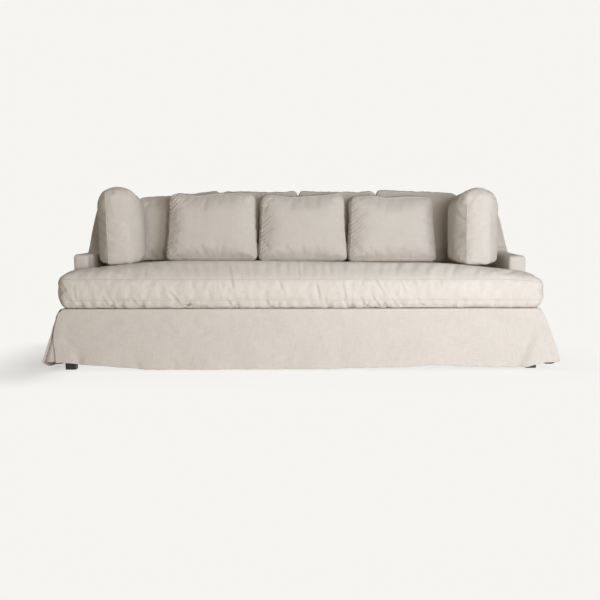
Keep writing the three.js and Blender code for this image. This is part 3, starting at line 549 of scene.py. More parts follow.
pillowSpec = {
    "width": 0.488, "height": 0.368, "boxing": 0.104, "crown": 0.046, "fill": 0.8, "line": 0.0807,
    "corner": (0.032, 0.020), "plateau": (0.128, 0.110, 0.070), "seamInset": (0.006, 0.005, 0.016),
    "skew": 0.004, "taper": 0.016,
    "fall": 0.0, "fallPower": 1.0, "topWave": 0.012, "gathers": {
        "left": (0.0072, 0.023, 0.066, 0.90), "right": (0.0018, 0.016, 0.030, 0.3),
        "top": (0.0007, 0.030, 0.040, 0.0), "bottom": (0.0011, 0.024, 0.045, 0.0),
    },
}
pillowTailoring = (
    ("left", -1, 0.500, -0.006, 0.376, 0.0), ("centre", 0, 0.488, 0.0, 0.371, 0.003),
    ("right", 1, 0.488, 0.0, 0.371, 0.007),
)
for side, step, width, shift, height, settle in pillowTailoring:
    place = leaned(0.016 + 0.490 * step + shift, pillowSpec["line"], -settle)
    boxCushion("pillow_" + side, dict(pillowSpec, width=width, height=height), place, 21 + step)

sideSpec = {
    "width": 0.456, "height": 0.395, "boxing": 0.112, "crown": 0.052, "fill": 0.85,
    "corner": (0.050, 0.008), "plateau": (0.128, 0.080, 0.016), "seamInset": (0.006, 0.010, 0.003),
    "skew": 0.0, "taper": 0.0, "toeIn": 5,
    "fall": 0.0, "fallPower": 1.0, "topWave": 0.004, "gathers": {
        "left": (0.0012, 0.030, 0.045, 0.3), "right": (0.0012, 0.030, 0.045, 0.3),
        "top": (0.0016, 0.030, 0.045, 0.0), "bottom": (0.0016, 0.030, 0.045, 0.0),
    },
}
sidePlaces = (
    ("left", -1, (-0.9376, -0.0588, 0.5080), 2, 0.052), ("right", 1, (0.9215, -0.0588, 0.5064), 0, 0.058),
)
for side, sign, spot, lean, crown in sidePlaces:
    facing = Matrix(((0, sign, 0, 0), (-sign, 0, 0, 0), (0, 0, 1, 0), (0, 0, 0, 1)))
    leaning = Matrix.Rotation(math.radians(sign * lean), 4, "Y")
    toed = Matrix.Rotation(math.radians(-sign * sideSpec["toeIn"]), 4, "Z")
    place = Matrix.Translation(spot) @ toed @ leaning @ facing
    boxCushion("side_cushion_" + side, dict(sideSpec, crown=crown), place, 31 + sign)
print("loose cushions cut")


# Bench shapes with ears in front of the arms, for the seat cushion and the deck under it

def benchGrid(spec, cell):
    half, stem = spec["half"], spec["stem"]
    front, ear, back = spec["front"], spec["ear"], spec["back"]
    earCells, stemCells = round((half - stem) / cell), round(2 * stem / cell)
    noseCells, rearCells = round((ear - front) / cell), round((back - ear) / cell)
    across, deep = 2 * earCells + stemCells, noseCells + rearCells
    bm = bmesh.new()
    bmesh.ops.create_grid(bm, x_segments=across, y_segments=deep, size=0.5)
    for v in bm.verts:
        i, j = round((v.co.x + 0.5) * across), round((v.co.y + 0.5) * deep)
        if i <= earCells:
            x = -half + (half - stem) * i / earCells
        elif i >= earCells + stemCells:
            x = half - (half - stem) * (across - i) / earCells
        else:
            x = -stem + 2 * stem * (i - earCells) / stemCells
        y = front + (ear - front) * j / noseCells if j <= noseCells else ear + (back - ear) * (j - noseCells) / rearCells
        v.co = (x, y, 0)
    cut = []
    for face in bm.faces:
        middle = face.calc_center_median()
        if abs(middle.x) > stem and middle.y > ear:
            cut.append(face)
    bmesh.ops.delete(bm, geom=cut, context="FACES")
    return bm


# Where a point of the bench goes when its corners are rounded
def roundBench(x, y, spec):
    sign = math.copysign(1, x)
    a = abs(x)
    corners = [
        (spec["half"], spec["front"], 1, -1, spec["corner"]),
        (spec["half"], spec["ear"], 1, 1, spec["corner"]),
        (spec["stem"], spec["back"], 1, 1, spec["corner"]),
    ]
    for cornerX, cornerY, sx, sy, radius in corners:
        centreX, centreY = cornerX - sx * radius, cornerY - sy * radius
        dx, dy = (a - centreX) * sx, (y - centreY) * sy
        if dx > 0 and dy > 0 and dx <= radius + 1e-6 and dy <= radius + 1e-6:
            k = roundCorner(dx, dy)
            return sign * (centreX + sx * dx * k), centreY + sy * dy * k
    return x, y


def benchShares(x, y, spec, edge):
    a = abs(x)
    shares = [(y - spec["front"]) / edge["front"], (spec["half"] - a) / edge["end"]]
    shares.append((spec["back"] - y) / edge["back"])
    sideAway = spec["stem"] - a
    rearAway = spec["ear"] - y
    if sideAway < 0:
        shares.append(rearAway / edge["ear"])
    elif rearAway < 0:
        shares.append(sideAway / edge["arm"])
    else:
        shares.append(math.hypot(sideAway / edge["arm"], rearAway / edge["ear"]))
    return [min(1.5, max(0.0, s)) for s in shares]


seatSpec = {
    "half": 1.1840, "stem": 1.0498, "front": -0.5180, "ear": -0.2850, "back": 0.2870,
    "corner": 0.062, "bottom": 0.2987, "seamLow": 0.042, "seamHigh": 0.140, "thick": 0.226,
    "edge": {"front": 0.140, "ear": 0.070, "end": 0.200, "arm": 0.034, "back": 0.045},
    "under": 0.040, "underTurn": 58, "groove": 0.0016, "cell": 0.0130, "fill": 0.75, "startFull": 0.95, "swellMost": 0.012,
    "wallCells": 8, "lowCells": 4, "fallShare": 0.4, "fallReach": 0.6, "belly": 0.7,
    "ridge": 0.005, "ridgeLine": -0.37, "ridgeReach": 0.08,
    "sagRight": 0.009, "sagStart": -0.25, "sagReach": 0.80, "endSag": 0.014, "endSagReach": 0.26,
}


# How far the seat has settled on its right half
def sagAt(x, spec):
    share = clampShare((x - spec["sagStart"]) / spec["sagReach"])
    return spec["sagRight"] * share * share * (3 - 2 * share)


# Height of the seat's crown over its underside: it falls towards the ends and has a low ridge near the front
def crownLevel(x, y, spec):
    swell = spec["thick"] - spec["seamHigh"]
    far = clampShare((spec["half"] - abs(x)) / spec["fallReach"])
    ridge = spec["ridge"] * math.exp(-((y - spec["ridgeLine"]) / spec["ridgeReach"]) ** 2) * far
    fall = swell * spec["fallShare"] * (1 + math.cos(math.pi * far)) / 2
    return spec["thick"] - fall - sagAt(x, spec) + ridge


def benchOutlineShare(x, y, spec):
    # Pulls the ends of the bench in a little between their corners
    if abs(x) < spec["half"] - 0.09 or y > spec["ear"]:
        return 0.0
    middle = (spec["front"] + spec["ear"]) / 2
    reach = (spec["ear"] - spec["front"]) / 2
    return max(0.0, 1 - ((y - middle) / reach) ** 2) * clampShare((abs(x) - spec["half"] + 0.09) / 0.09)


def seatCushion():
    spec = seatSpec
    name = "seat_cushion"
    bm = benchGrid(spec, spec["cell"])
    level = bm.verts.layers.int.new("level")    # 0 underside, then up the wall, last the top
    lowerFaces = list(bm.faces)
    made = bmesh.ops.extrude_face_region(bm, geom=lowerFaces, use_keep_orig=True)
    raised = [g for g in made["geom"] if isinstance(g, bmesh.types.BMVert)]
    bmesh.ops.translate(bm, verts=raised, vec=(0, 0, 1))
    walls = spec["lowCells"] + spec["wallCells"]
    upright = [e for e in bm.edges if abs(e.verts[0].co.z - e.verts[1].co.z) > 0.5]
    bmesh.ops.subdivide_edges(bm, edges=upright, cuts=walls - 1, use_grid_fill=True)
    for v in bm.verts:
        v[level] = round(v.co.z * walls)
    layWeave(bm, (1, 1, 0.14), 0.2)
    bm.verts.index_update()
    bm.verts.ensure_lookup_table()
    outline = {v.index for v in bm.verts if any(abs(e.verts[0].co.z - e.verts[1].co.z) > 0.01 for e in v.link_edges)}
    lowRing = {i for i in outline if bm.verts[i][level] == spec["lowCells"]}
    highRing = {i for i in outline if bm.verts[i][level] == walls}
    rings = [ringOrder(bm, lowRing), ringOrder(bm, highRing)]
    pinned = set(lowRing) | set(highRing)
    for v in bm.verts:
        step = v[level]
        wall = v.index in outline
        x, y = roundBench(v.co.x, v.co.y, spec)
        pull = 0.007 * benchOutlineShare(v.co.x, v.co.y, spec)
        shares = benchShares(v.co.x, v.co.y, spec, spec["edge"])
        if step == 0 and not wall:
            inset = min(
                (s * e for s, e in zip(shares, (0.120, 0.200, 0.045, 0.060))), default=0,
            )
            rise = clampShare(1 - inset / spec["under"])
            z = spec["seamLow"] * (1 - math.sqrt(max(0, 1 - rise * rise)))
            pinned.add(v.index)
        elif step == walls and not wall:
            crown = (crownLevel(x, y, spec) - spec["seamHigh"]) * spec["startFull"]
            z = spec["seamHigh"] + crown * fullness(clampShare(smoothLeast(shares)), spec["belly"])
        elif step <= spec["lowCells"]:
            # the soft band under the lower seam turns under
            turn = math.radians(spec["underTurn"])
            angle = step / spec["lowCells"] * turn
            z = spec["seamLow"] * (1 - math.cos(angle)) / (1 - math.cos(turn))
            under = spec["under"] * (1 - math.sin(angle) / math.sin(turn))
            x, y = shrinkBench(x, y, under, spec)
            if step == 0:
                pinned.add(v.index)
        else:
            z = spec["seamLow"] + (spec["seamHigh"] - spec["seamLow"]) * (step - spec["lowCells"]) / spec["wallCells"]
        v.co = (x - math.copysign(pull, x), y, z + spec["bottom"])
    piece = linkPiece(name + "_cover", meshFrom(bm, name), cushionLinen, name, (name,))
    cushions.append({
        "piece": piece, "spec": spec, "place": Matrix.Identity(4), "seed": 5, "rings": rings,
        "pinned": sorted(pinned), "name": name, "most": spec["swellMost"],
    })


def shrinkBench(x, y, inset, spec):
    sign = math.copysign(1, x)
    a = abs(x)
    middleY = (spec["front"] + spec["ear"]) / 2
    if y < middleY:
        y += inset * clampShare((middleY - y) / 0.05)
    if a > spec["half"] - spec["corner"] - 1e-6 and y <= spec["ear"]:
        a -= inset * clampShare((a - (spec["half"] - spec["corner"])) / spec["corner"])
    return sign * a, y


seatCushion()
print("seat cushion cut")


# The filling swells each cover between its seams
def swellAll():
    for item in cushions:
        piece = item["piece"]
        item["rest"] = [v.co.copy() for v in piece.data.vertices]
        for v in piece.data.vertices:
            v.co += noise.noise_vector(v.co * 30 + Vector((item["seed"], 0, 0))) * 0.0012
        for i in item["pinned"]:
            piece.data.vertices[i].co = item["rest"][i]
        group = piece.vertex_groups.new(name="seams")
        group.add(item["pinned"], 1.0, "ADD")
        modifier = piece.modifiers.new("cover", "CLOTH")
        cloth = modifier.settings
        cloth.quality = 5
        cloth.mass = 0.2
        cloth.tension_stiffness = 15
        cloth.compression_stiffness = 5
        cloth.shear_stiffness = 5
        cloth.bending_stiffness = 0.3
        cloth.use_pressure = True
        cloth.uniform_pressure_force = 4.0
        cloth.shrink_min = -0.035
        cloth.effector_weights.gravity = 0
        cloth.vertex_group_mass = "seams"
        modifier.point_cache.frame_start = 1
        modifier.point_cache.frame_end = 20
    for step in range(1, 21):
        scene.frame_set(step)
    depsgraph = bpy.context.evaluated_depsgraph_get()
    for item in cushions:
        piece = item["piece"]
        swollen = [v.co.copy() for v in piece.evaluated_get(depsgraph).data.vertices]
        piece.modifiers.clear()
        piece.vertex_groups.clear()
        for v in piece.data.vertices:
            move = swollen[v.index] - item["rest"][v.index]
            if move.length > 0:
                most = item["most"]
                move *= most * math.tanh(move.length / most) / move.length
            v.co = item["rest"][v.index] + move
    scene.frame_set(1)


swellAll()
print("covers swollen")


# Smooths a swollen cover to a finer mesh, so that gathers and folds can be small
def refine(piece):
    addSubdivision(piece)
    depsgraph = bpy.context.evaluated_depsgraph_get()
    coarse, fine = piece.data, bpy.data.meshes.new_from_object(piece.evaluated_get(depsgraph))
    piece.modifiers.clear()
    fine.name = coarse.name
    piece.data = fine
    bpy.data.meshes.remove(coarse)
    return fine


def finishBoxCushion(item):
    piece, spec, seed = item["piece"], item["spec"], item["seed"]
    mesh = refine(piece)
    halfWidth, height, halfBoxing = spec["width"] / 2, spec["height"], spec["boxing"] / 2
    gathers, foot = spec["gathers"], spec["seamInset"][2]
    normals = [n.vector.copy() for n in mesh.vertex_normals]
    for v in mesh.vertices:
        normal = normals[v.index]
        x, z = v.co.x, v.co.z
        move = 0.0
        if abs(normal.y) > 0.35:
            away = {"left": halfWidth + x, "right": halfWidth - x, "top": height - z, "bottom": z - foot}
            along = {"left": z, "right": z + 3, "top": x + 5, "bottom": x + 7}
            for edge, (size, period, reach, slant) in gathers.items():
                d = max(0.0, away[edge])
                fade = clampShare(d / 0.012)
                move += fade * size * pucker(along[edge] - slant * d, d, period, reach, seed + len(edge))
            move += 0.0022 * noise.noise(v.co * 9 + Vector((seed, 1, 2)))
        move += 0.0007 * noise.noise(v.co * 34 + Vector((seed, 5, 2)))
        v.co += normal * move
    limitX = halfWidth - 0.0006
    for v in mesh.vertices:
        v.co.x = max(-limitX, min(limitX, v.co.x))
        v.co.z = max(0.0004, v.co.z)
        reach = halfBoxing + spec["crown"]
        if v.co.y > reach:
            v.co.y = reach
    radius = cushionCommon["weltRadius"]
    for ring, label in zip(item["rings"], ("front", "rear")):
        points = [mesh.vertices[i].co.copy() for i in ring]
        placed = []
        for p in points:
            p.z = max(p.z, radius)
            placed.append(item["place"] @ p)
        addWelt(item["name"] + "_welt_" + label, placed, radius, item["name"])
    mesh.transform(item["place"])
    if item["place"].determinant() < 0:
        mesh.flip_normals()


# Folds on the seat's front, at y's frontmost: x, height, x, height, half width, depth
seatCreases = [
    (-1.168, 0.436, -1.095, 0.318, 0.010, 0.0020), (-1.096, 0.430, -1.088, 0.330, 0.008, 0.0022),
    (-1.140, 0.360, -1.060, 0.280, 0.010, 0.0035), (-0.960, 0.352, -0.915, 0.280, 0.010, 0.0035),
    (-0.900, 0.356, -0.868, 0.278, 0.008, 0.0030), (-0.820, 0.350, -0.776, 0.278, 0.010, 0.0036),
    (-0.762, 0.478, -0.752, 0.440, 0.007, 0.0022), (-0.640, 0.378, -0.556, 0.276, 0.011, 0.0048),
    (-0.590, 0.344, -0.545, 0.278, 0.008, 0.0040), (-0.500, 0.342, -0.470, 0.278, 0.008, 0.0030),
    (-0.416, 0.434, -0.408, 0.384, 0.007, 0.0026), (-0.372, 0.350, -0.324, 0.280, 0.009, 0.0044),
    (-0.356, 0.498, -0.334, 0.392, 0.009, 0.0032), (-0.300, 0.470, -0.290, 0.420, 0.007, 0.0022),
    (-0.180, 0.344, -0.150, 0.278, 0.008, 0.0032), (-0.120, 0.440, -0.092, 0.370, 0.009, 0.0026),
    (-0.024, 0.520, -0.018, 0.430, 0.009, 0.0034), (0.060, 0.420, 0.082, 0.340, 0.008, 0.0030),
    (0.104, 0.352, 0.128, 0.278, 0.008, 0.0040), (0.190, 0.412, 0.206, 0.350, 0.008, 0.0036),
    (0.196, 0.344, 0.236, 0.276, 0.010, 0.0050), (0.286, 0.440, 0.276, 0.404, 0.009, 0.0034),
    (0.280, 0.348, 0.312, 0.276, 0.008, 0.0052), (0.340, 0.450, 0.396, 0.352, 0.009, 0.0038),
    (0.338, 0.350, 0.394, 0.276, 0.008, 0.0056), (0.430, 0.344, 0.470, 0.278, 0.008, 0.0046),
    (0.468, 0.436, 0.490, 0.376, 0.008, 0.0030), (0.532, 0.440, 0.546, 0.404, 0.007, 0.0026),
    (0.556, 0.346, 0.574, 0.278, 0.007, 0.0032), (0.660, 0.436, 0.668, 0.392, 0.007, 0.0020),
]


def finishSeat(item):
    piece, spec = item["piece"], item["spec"]
    mesh = refine(piece)
    normals = [n.vector.copy() for n in mesh.vertex_normals]
    seamLow, seamHigh = spec["bottom"] + spec["seamLow"], spec["bottom"] + spec["seamHigh"]
    for v in mesh.vertices:
        normal = normals[v.index]
        x, y, z = v.co
        move = lift = 0.0
        front = clampShare(-normal.y * 1.4)
        if front > 0:
            low, high = abs(z - seamLow), abs(z - seamHigh)
            middle = math.exp(-((x - 0.10) / 0.62) ** 2)
            size = 0.0004 + 0.0012 * middle
            move += front * clampShare(low / 0.01) * size * pucker(x + 0.6 * low, low, 0.043, 0.030, 2.0)
            above = 0.4 if z > seamHigh else 1.0
            move += above * front * clampShare(high / 0.01) * size * pucker(x + 4, high, 0.038, 0.040, 6.0)
            if z < seamLow:
                move += front * 0.0050 * pucker(x + 9, low, 0.050, 0.05, 9.0) * clampShare(low / 0.012)
            for crease in seatCreases:
                if min(crease[0], crease[2]) - 0.04 < x < max(crease[0], crease[2]) + 0.04:
                    *line, width, depth = crease
                    fold = creaseAt(x, z, (*line, 0.75 * width))
                    ridge = creaseAt(x - 1.3 * width, z, (*line, 0.75 * width))
                    move += front * 1.25 * depth * (0.8 * ridge - fold)
                    if crease[3] < 0.31:
                        # and lifts the soft band where it ends
                        near = math.exp(-((x - crease[2]) / (1.3 * width)) ** 2)
                        lift += 2.6 * depth * near * clampShare((seamLow - z) / 0.03)
            move -= spec["groove"] * (math.exp(-((low / 0.006) ** 2)) + math.exp(-((high / 0.006) ** 2)))
        move += 0.0030 * noise.noise(v.co * 5 + Vector((3, 1, 2)))
        move += 0.0012 * noise.noise(v.co * 22 + Vector((7, 5, 2)))
        v.co += normal * move
        v.co.z += lift
    for v in mesh.vertices:
        level = spec["bottom"] + crownLevel(v.co.x, v.co.y, spec) - 0.0003
        v.co.z = max(spec["bottom"] + 0.0003, min(level, v.co.z))
        atEnd = clampShare((v.co.x - spec["half"] + spec["endSagReach"]) / spec["endSagReach"])
        raised = clampShare((v.co.z - seamLow) / (seamHigh - seamLow))
        v.co.z -= spec["endSag"] * atEnd * atEnd * raised
        if v.co.y > spec["back"]:
            v.co.y = spec["back"]
    for ring, label in zip(item["rings"], ("low", "high")):
        points = [mesh.vertices[i].co.copy() for i in ring]
        # the seat's welts take the darkened seam linen: painted shade of the stitched seam line
        addWelt(item["name"] + "_seam_" + label, points, 0.0012, item["name"], shadedStitchedLinen)


for item in cushions:
    if item["name"] == "seat_cushion":
        finishSeat(item)
    else:
        finishBoxCushion(item)
print("cushions finished")


# Slipcover: arms

armSpec = {
    "inner": 1.0638, "outer": 1.1518, "front": -0.2770, "bottom": 0.2621,
    "noseHeight": 0.553, "topHeight": 0.571, "swoopStart": 0.042, "crest": 0.852,
    "edgeRound": 0.017, "cell": 0.011, "thickness": 0.0025,
    "footShare": 0.2, "kneeShare": 0.5, "kneeHeightShare": 0.82,
}
armSides = {
    "left": {"narrow": 0.013, "narrowReach": 0.110, "raise": 0.006},
    "right": {"narrow": 0.0, "narrowReach": 0.110, "raise": -0.0012},
}


def insideBack(z):
    return 0.290 + (z - 0.300) * math.tan(math.radians(10))


def outsideBack(z):
    return 0.4928 + (z - 0.2984) * math.tan(math.radians(2.7))


# Height of the arm's top line at y
def armTopAt(y):
    spec = armSpec
    start, reach = spec["swoopStart"], insideBack(spec["crest"])
    slope = (spec["topHeight"] - spec["noseHeight"]) / (start - spec["front"])
    if y <= start:
        return spec["noseHeight"] + (y - spec["front"]) * slope
    run, rise = reach - start, spec["crest"] - spec["topHeight"]
    points = [
        (start, spec["topHeight"]),
        (start + run * spec["footShare"], spec["topHeight"] + run * spec["footShare"] * slope),
        (start + run * spec["kneeShare"], spec["topHeight"] + rise * spec["kneeHeightShare"]),
        (reach, spec["crest"]),
    ]
    low, high = 0.0, 1.0
    for step in range(24):
        t = (low + high) / 2
        weights = ((1 - t) ** 3, 3 * t * (1 - t) ** 2, 3 * t * t * (1 - t), t ** 3)
        if sum(w * p[0] for w, p in zip(weights, points)) < y:
            low = t
        else:
            high = t
    return sum(w * p[1] for w, p in zip(weights, points))


def armCoverShape(side, sign):
    # A slab that follows the arm's top line, its upper edges rounded over
    spec = armSpec
    name = "slipcover_arm_" + side
    rear = insideBack(spec["crest"]) - 0.001
    width, length, depth = spec["outer"] - spec["inner"], rear - spec["front"], spec["crest"] - spec["bottom"]
    sizes = (width, length, depth)
    bm = bmesh.new()
    bmesh.ops.create_cube(bm, size=1)
    for axis, size in enumerate(sizes):
        cutAlong(bm, axis, round(size / spec["cell"]) - 1)
    layWeave(bm, sizes, 0.9 + sign)
    under = [f for f in bm.faces if f.calc_center_median().z < -0.4999]
    bmesh.ops.delete(bm, geom=under, context="FACES")
    r = spec["edgeRound"]
    for v in bm.verts:
        x, y, z = (v.co.x + 0.5) * width, (v.co.y + 0.5) * length, (v.co.z + 0.5) * depth
        # round over the three edges that meet at the front top
        ax = abs(x - width / 2) - (width / 2 - r)
        ay = r - y
        az = z - (depth - r)
        over = [max(0.0, ax), max(0.0, ay), max(0.0, az)]
        total = math.sqrt(sum(o * o for o in over))
        if total > 0:
            k = max(over) / total
            if over[0] > 0:
                x = width / 2 + math.copysign(width / 2 - r + over[0] * k, x - width / 2)
            if over[1] > 0:
                y = r - over[1] * k
            if over[2] > 0:
                z = depth - r + over[2] * k
        worldY = spec["front"] + y
        top = armTopAt(max(worldY, spec["front"]))
        top += armSides[side]["raise"] * clampShare(1 - (worldY - spec["front"]) / 0.3)
        x += armSides[side]["narrow"] * (1 - x / width) * math.exp(-((y / armSides[side]["narrowReach"]) ** 2))
        drop = depth - z
        band = 0.05
        if drop < band:
            worldZ = top - drop
        else:
            worldZ = spec["bottom"] + (top - band - spec["bottom"]) * (depth - drop) / (depth - band)
        limit = insideBack(worldZ) - 0.0012
        if worldY > limit - 0.12:
            # the rear follows the reclined back
            share = clampShare((worldY - (limit - 0.12)) / (rear - (limit - 0.12))) if rear > limit - 0.12 else 0
            worldY = (limit - 0.12) + 0.12 * share
        v.co = (sign * (spec["inner"] + x), worldY, worldZ)
    bm.normal_update()
    for v in bm.verts:
        x, y, z = v.co
        normal = v.normal.copy()
        across = abs(x) - spec["inner"]
        move = 0.0014 * noise.noise(v.co * 11 + Vector((sign, 4, 2))) + 0.0006 * noise.noise(v.co * 40)
        # gathers fan out from the inner top corner of the front
        if normal.y < -0.3:
            fan = math.atan2(z - (spec["noseHeight"] - 0.055), across - 0.004)
            far = math.hypot(z - (spec["noseHeight"] - 0.015), across - 0.012)
            move += 0.0026 * math.sin(fan * 14) * math.exp(-far / 0.035)
        # and soft folds lie across the swoop
        if y > 0.0 and normal.z > 0.1:
            move += 0.0034 * pucker(y + z * 0.8, 0.0, 0.034, 1.0, 3.0 + sign)
        v.co += normal * move
    piece = linkPiece(name + "_cloth", meshFrom(bm, name), shadedSlipcoverLinen, "root", (name,))
    addThickness(piece, spec["thickness"])
    addSubdivision(piece)
    return piece


for side, sign in (("left", -1), ("right", 1)):
    armCoverShape(side, sign)
print("arms covered")


# Slipcover: back

backSpec = {
    "half": 1.1518, "bottom": 0.2621, "endHeight": 0.852, "rise": 0.050, "shoulder": 0.036,
    "edgeRound": 0.018, "cell": 0.022, "thickness": 0.0025,
}


def backCover():
    spec = backSpec
    name = "slipcover_back"
    half, depth = spec["half"], spec["endHeight"] - spec["bottom"]
    sizes = (2 * half, 0.16, depth)
    bm = bmesh.new()
    bmesh.ops.create_cube(bm, size=1)
    cutAlong(bm, 0, round(sizes[0] / spec["cell"]) - 1)
    cutAlong(bm, 1, 11)
    cutAlong(bm, 2, round(depth / 0.020) - 1)
    layWeave(bm, sizes, 1.7)
    under = [f for f in bm.faces if f.calc_center_median().z < -0.4999]
    bmesh.ops.delete(bm, geom=under, context="FACES")
    r = spec["edgeRound"]
    for v in bm.verts:
        x, z = v.co.x * sizes[0], (v.co.z + 0.5) * depth
        # rows and columns gather near the edges so that these can be rounded
        a = abs(x) / half
        x = math.copysign(half * (a + 0.010 * math.sin(math.pi * a)), x)
        hump = spec["rise"] * (1 + math.cos(math.pi * x / half)) / 2
        t = v.co.y + 0.5
        s = spec["shoulder"]
        dx, dz = abs(x) - (half - s), z - (depth - s)
        if dx > 0 and dz > 0:
            k = roundCorner(dx, dz)
            x = math.copysign(half - s + dx * k, x)
            z = depth - s + dz * k
        worldZ = spec["bottom"] + z + hump * z / depth
        front, rear = insideBack(worldZ), outsideBack(worldZ)
        thick = rear - front
        # distance from the outline decides how far the faces round over
        edge = min(half - abs(x), depth - z)
        lip = r - math.sqrt(max(0.0, r * r - max(0.0, r - edge) ** 2)) if edge < r else 0.0
        y = front + lip + (thick - 2 * lip) * t
        v.co = (x, y, worldZ)
    bm.normal_update()
    for v in bm.verts:
        move = 0.0030 * noise.noise(v.co * 5 + Vector((1, 4, 2))) + 0.0012 * noise.noise(v.co * 19)
        if v.normal.y > 0.4:
            move += 0.0016 * pucker(v.co.x, v.co.z - spec["bottom"], 0.11, 0.22, 4.0)
            v.co += v.normal * move
        elif v.normal.y > -0.4:
            v.co += v.normal * move * 0.4
    piece = linkPiece(name + "_cloth", meshFrom(bm, name), shadedSlipcoverLinen, "root", (name,))
    addThickness(piece, spec["thickness"])
    addSubdivision(piece)


backCover()
print("back covered")


# Slipcover: deck under the seat cushion, with its rim

deckSpec = {
    "half": 1.1718, "stem": 1.0578, "front": -0.4928, "ear": -0.2773, "back": 0.2793,
    "corner": 0.026, "top": 0.2984, "rim": 0.038, "cell": 0.021, "thickness": 0.0025, "edgeRound": 0.007,
}


def deckCover():
    spec = deckSpec
    name = "slipcover_deck"
    bm = benchGrid(spec, spec["cell"])
    layWeave(bm, (1, 1, 1), 2.3)
    rimEdges = [e for e in bm.edges if e.is_boundary]
    made = bmesh.ops.extrude_edge_only(bm, edges=rimEdges)
    low = [g for g in made["geom"] if isinstance(g, bmesh.types.BMVert)]
    bmesh.ops.translate(bm, verts=low, vec=(0, 0, -spec["rim"]))
    upright = [e for e in bm.edges if abs(e.verts[0].co.z - e.verts[1].co.z) > 0.01]
    bmesh.ops.subdivide_edges(bm, edges=upright, cuts=3, use_grid_fill=True)
    for v in bm.verts:
        x, y = roundBench(v.co.x, v.co.y, spec)
        v.co = (x, y, v.co.z + spec["top"])
    bm.normal_update()
    for v in bm.verts:
        if v.normal.z > 0.9:
            v.co.z -= 0.0010 * (0.5 + noise.noise(v.co * 6))
    piece = linkPiece(name + "_cloth", meshFrom(bm, name), shadedSlipcoverLinen, "root", (name,))
    addThickness(piece, spec["thickness"])
    addSubdivision(piece)


deckCover()
print("deck covered")


# Slipcover: skirt panels and the kick pleats behind their open corners

skirtSpec = {
    "top": 0.2954, "hem": 0.006, "flarePower": 1.6, "endPower": 8, "wave": 0.005,
    "thickness": 0.0025, "cell": 0.012, "cornerLift": 0.020, "frontLift": 0.041,
    "topCorner": 0.022,
}
longPanel = {"inner": 0.4931, "flare": 0.028, "cornerFlare": 0.0, "folds": 9}
sidePanel = {"inner": 1.1521, "half": 0.4931, "flare": 0.056, "cornerFlare": 0.018, "folds": 4}
earStep = {"left": 0.031, "right": 0.020}
skirtPanels = [
    ("skirt_front", dict(longPanel, half=1.1718, frontEnd=0), 0),
    ("skirt_right", dict(sidePanel, frontEnd=-1, ear=earStep["right"], endFlarePower=0.9), 1),
    ("skirt_rear", dict(longPanel, half=1.1518, frontEnd=0), 2),
    ("skirt_left", dict(sidePanel, frontEnd=1, ear=earStep["left"], endFlarePower=1.3, cornerFlare=0.010), 3),
]
# Valleys in the front panel's cloth: along, height, along, height, half width, depth
skirtFolds = [
    (1.134, 0.216, 1.050, -0.060, 0.014, 0.0070), (-1.086, 0.075, -1.050, -0.060, 0.020, 0.0120),
    (1.156, 0.225, 1.222, 0.030, 0.006, 0.0045),
    (-0.800, 0.040, -0.780, -0.060, 0.014, 0.0080), (1.128, 0.262, 1.140, 0.250, 0.010, 0.0030),
    (-1.150, 0.160, -1.110, 0.120, 0.012, 0.0030), (-0.620, 0.040, -0.616, -0.060, 0.012, 0.0050),
    (0.880, 0.044, 0.876, -0.060, 0.012, 0.0060), (0.330, 0.040, 0.326, -0.060, 0.010, 0.0045),
    (-0.640, 0.150, -0.440, 0.110, 0.008, 0.0022), (-0.560, 0.200, -0.390, 0.150, 0.008, 0.0018),
    (-0.060, 0.240, 0.230, 0.215, 0.007, 0.0016), (0.100, 0.262, 0.330, 0.250, 0.007, 0.0014),
    (-0.950, 0.235, -0.900, 0.200, 0.009, 0.0022), (-0.740, 0.120, -0.560, 0.085, 0.008, 0.0018),
]
# The right corner stands out past a fold that runs down to the hem
skirtFlap = {"top": (1.130, 0.225), "foot": (1.052, 0.020), "rise": 0.026, "fall": 0.20, "height": 0.024}


def cornerFlap(x, z):
    flap = skirtFlap
    (topX, topZ), (footX, footZ) = flap["top"], flap["foot"]
    down = clampShare((topZ - z) / (topZ - footZ))
    past = x - topX - (footX - topX) * down
    rise = clampShare(past / flap["rise"])
    return flap["height"] * down * rise * rise * (3 - 2 * rise) * max(0.0, 1 - past / flap["fall"])


# Height of the front hem along x
frontHem = [
    (-1.30, 0.040), (-1.14, 0.040), (-1.05, 0.030), (-0.97, 0.025), (-0.86, 0.016), (-0.74, 0.0065),
    (-0.25, 0.0065), (0.10, 0.0070), (0.30, 0.012), (0.50, 0.014), (0.62, 0.024), (0.70, 0.023),
    (0.76, 0.018), (0.96, 0.013), (1.08, 0.013), (1.12, 0.022), (1.17, 0.034), (1.30, 0.040),
]


def hemLift(u, x, quarters, panel):
    if quarters == 0:
        for (x0, z0), (x1, z1) in zip(frontHem, frontHem[1:]):
            if x <= x1:
                t = clampShare((x - x0) / (x1 - x0))
                return z0 + (z1 - z0) * t * t * (3 - 2 * t) - skirtSpec["hem"]
    share = abs(u) ** skirtSpec["endPower"]
    return share * (skirtSpec["frontLift"] if panel["frontEnd"] * u > 0 else skirtSpec["cornerLift"])


# How far the cloth stands off its line, u along the panel and v from its top to the hem
def swing(u, v, panel):
    spec = skirtSpec
    slow = math.sin(u * panel["folds"] * math.pi * 0.43 + 1) * 0.4
    wave = math.sin(u * panel["folds"] * math.pi) * 0.6 + slow
    end = abs(u) ** spec["endPower"]
    power = spec["flarePower"] + (panel.get("endFlarePower", spec["flarePower"]) - spec["flarePower"]) * end
    return v ** power * (panel["flare"] + panel["cornerFlare"] * end) + spec["wave"] * wave * (1 - end) * v * v


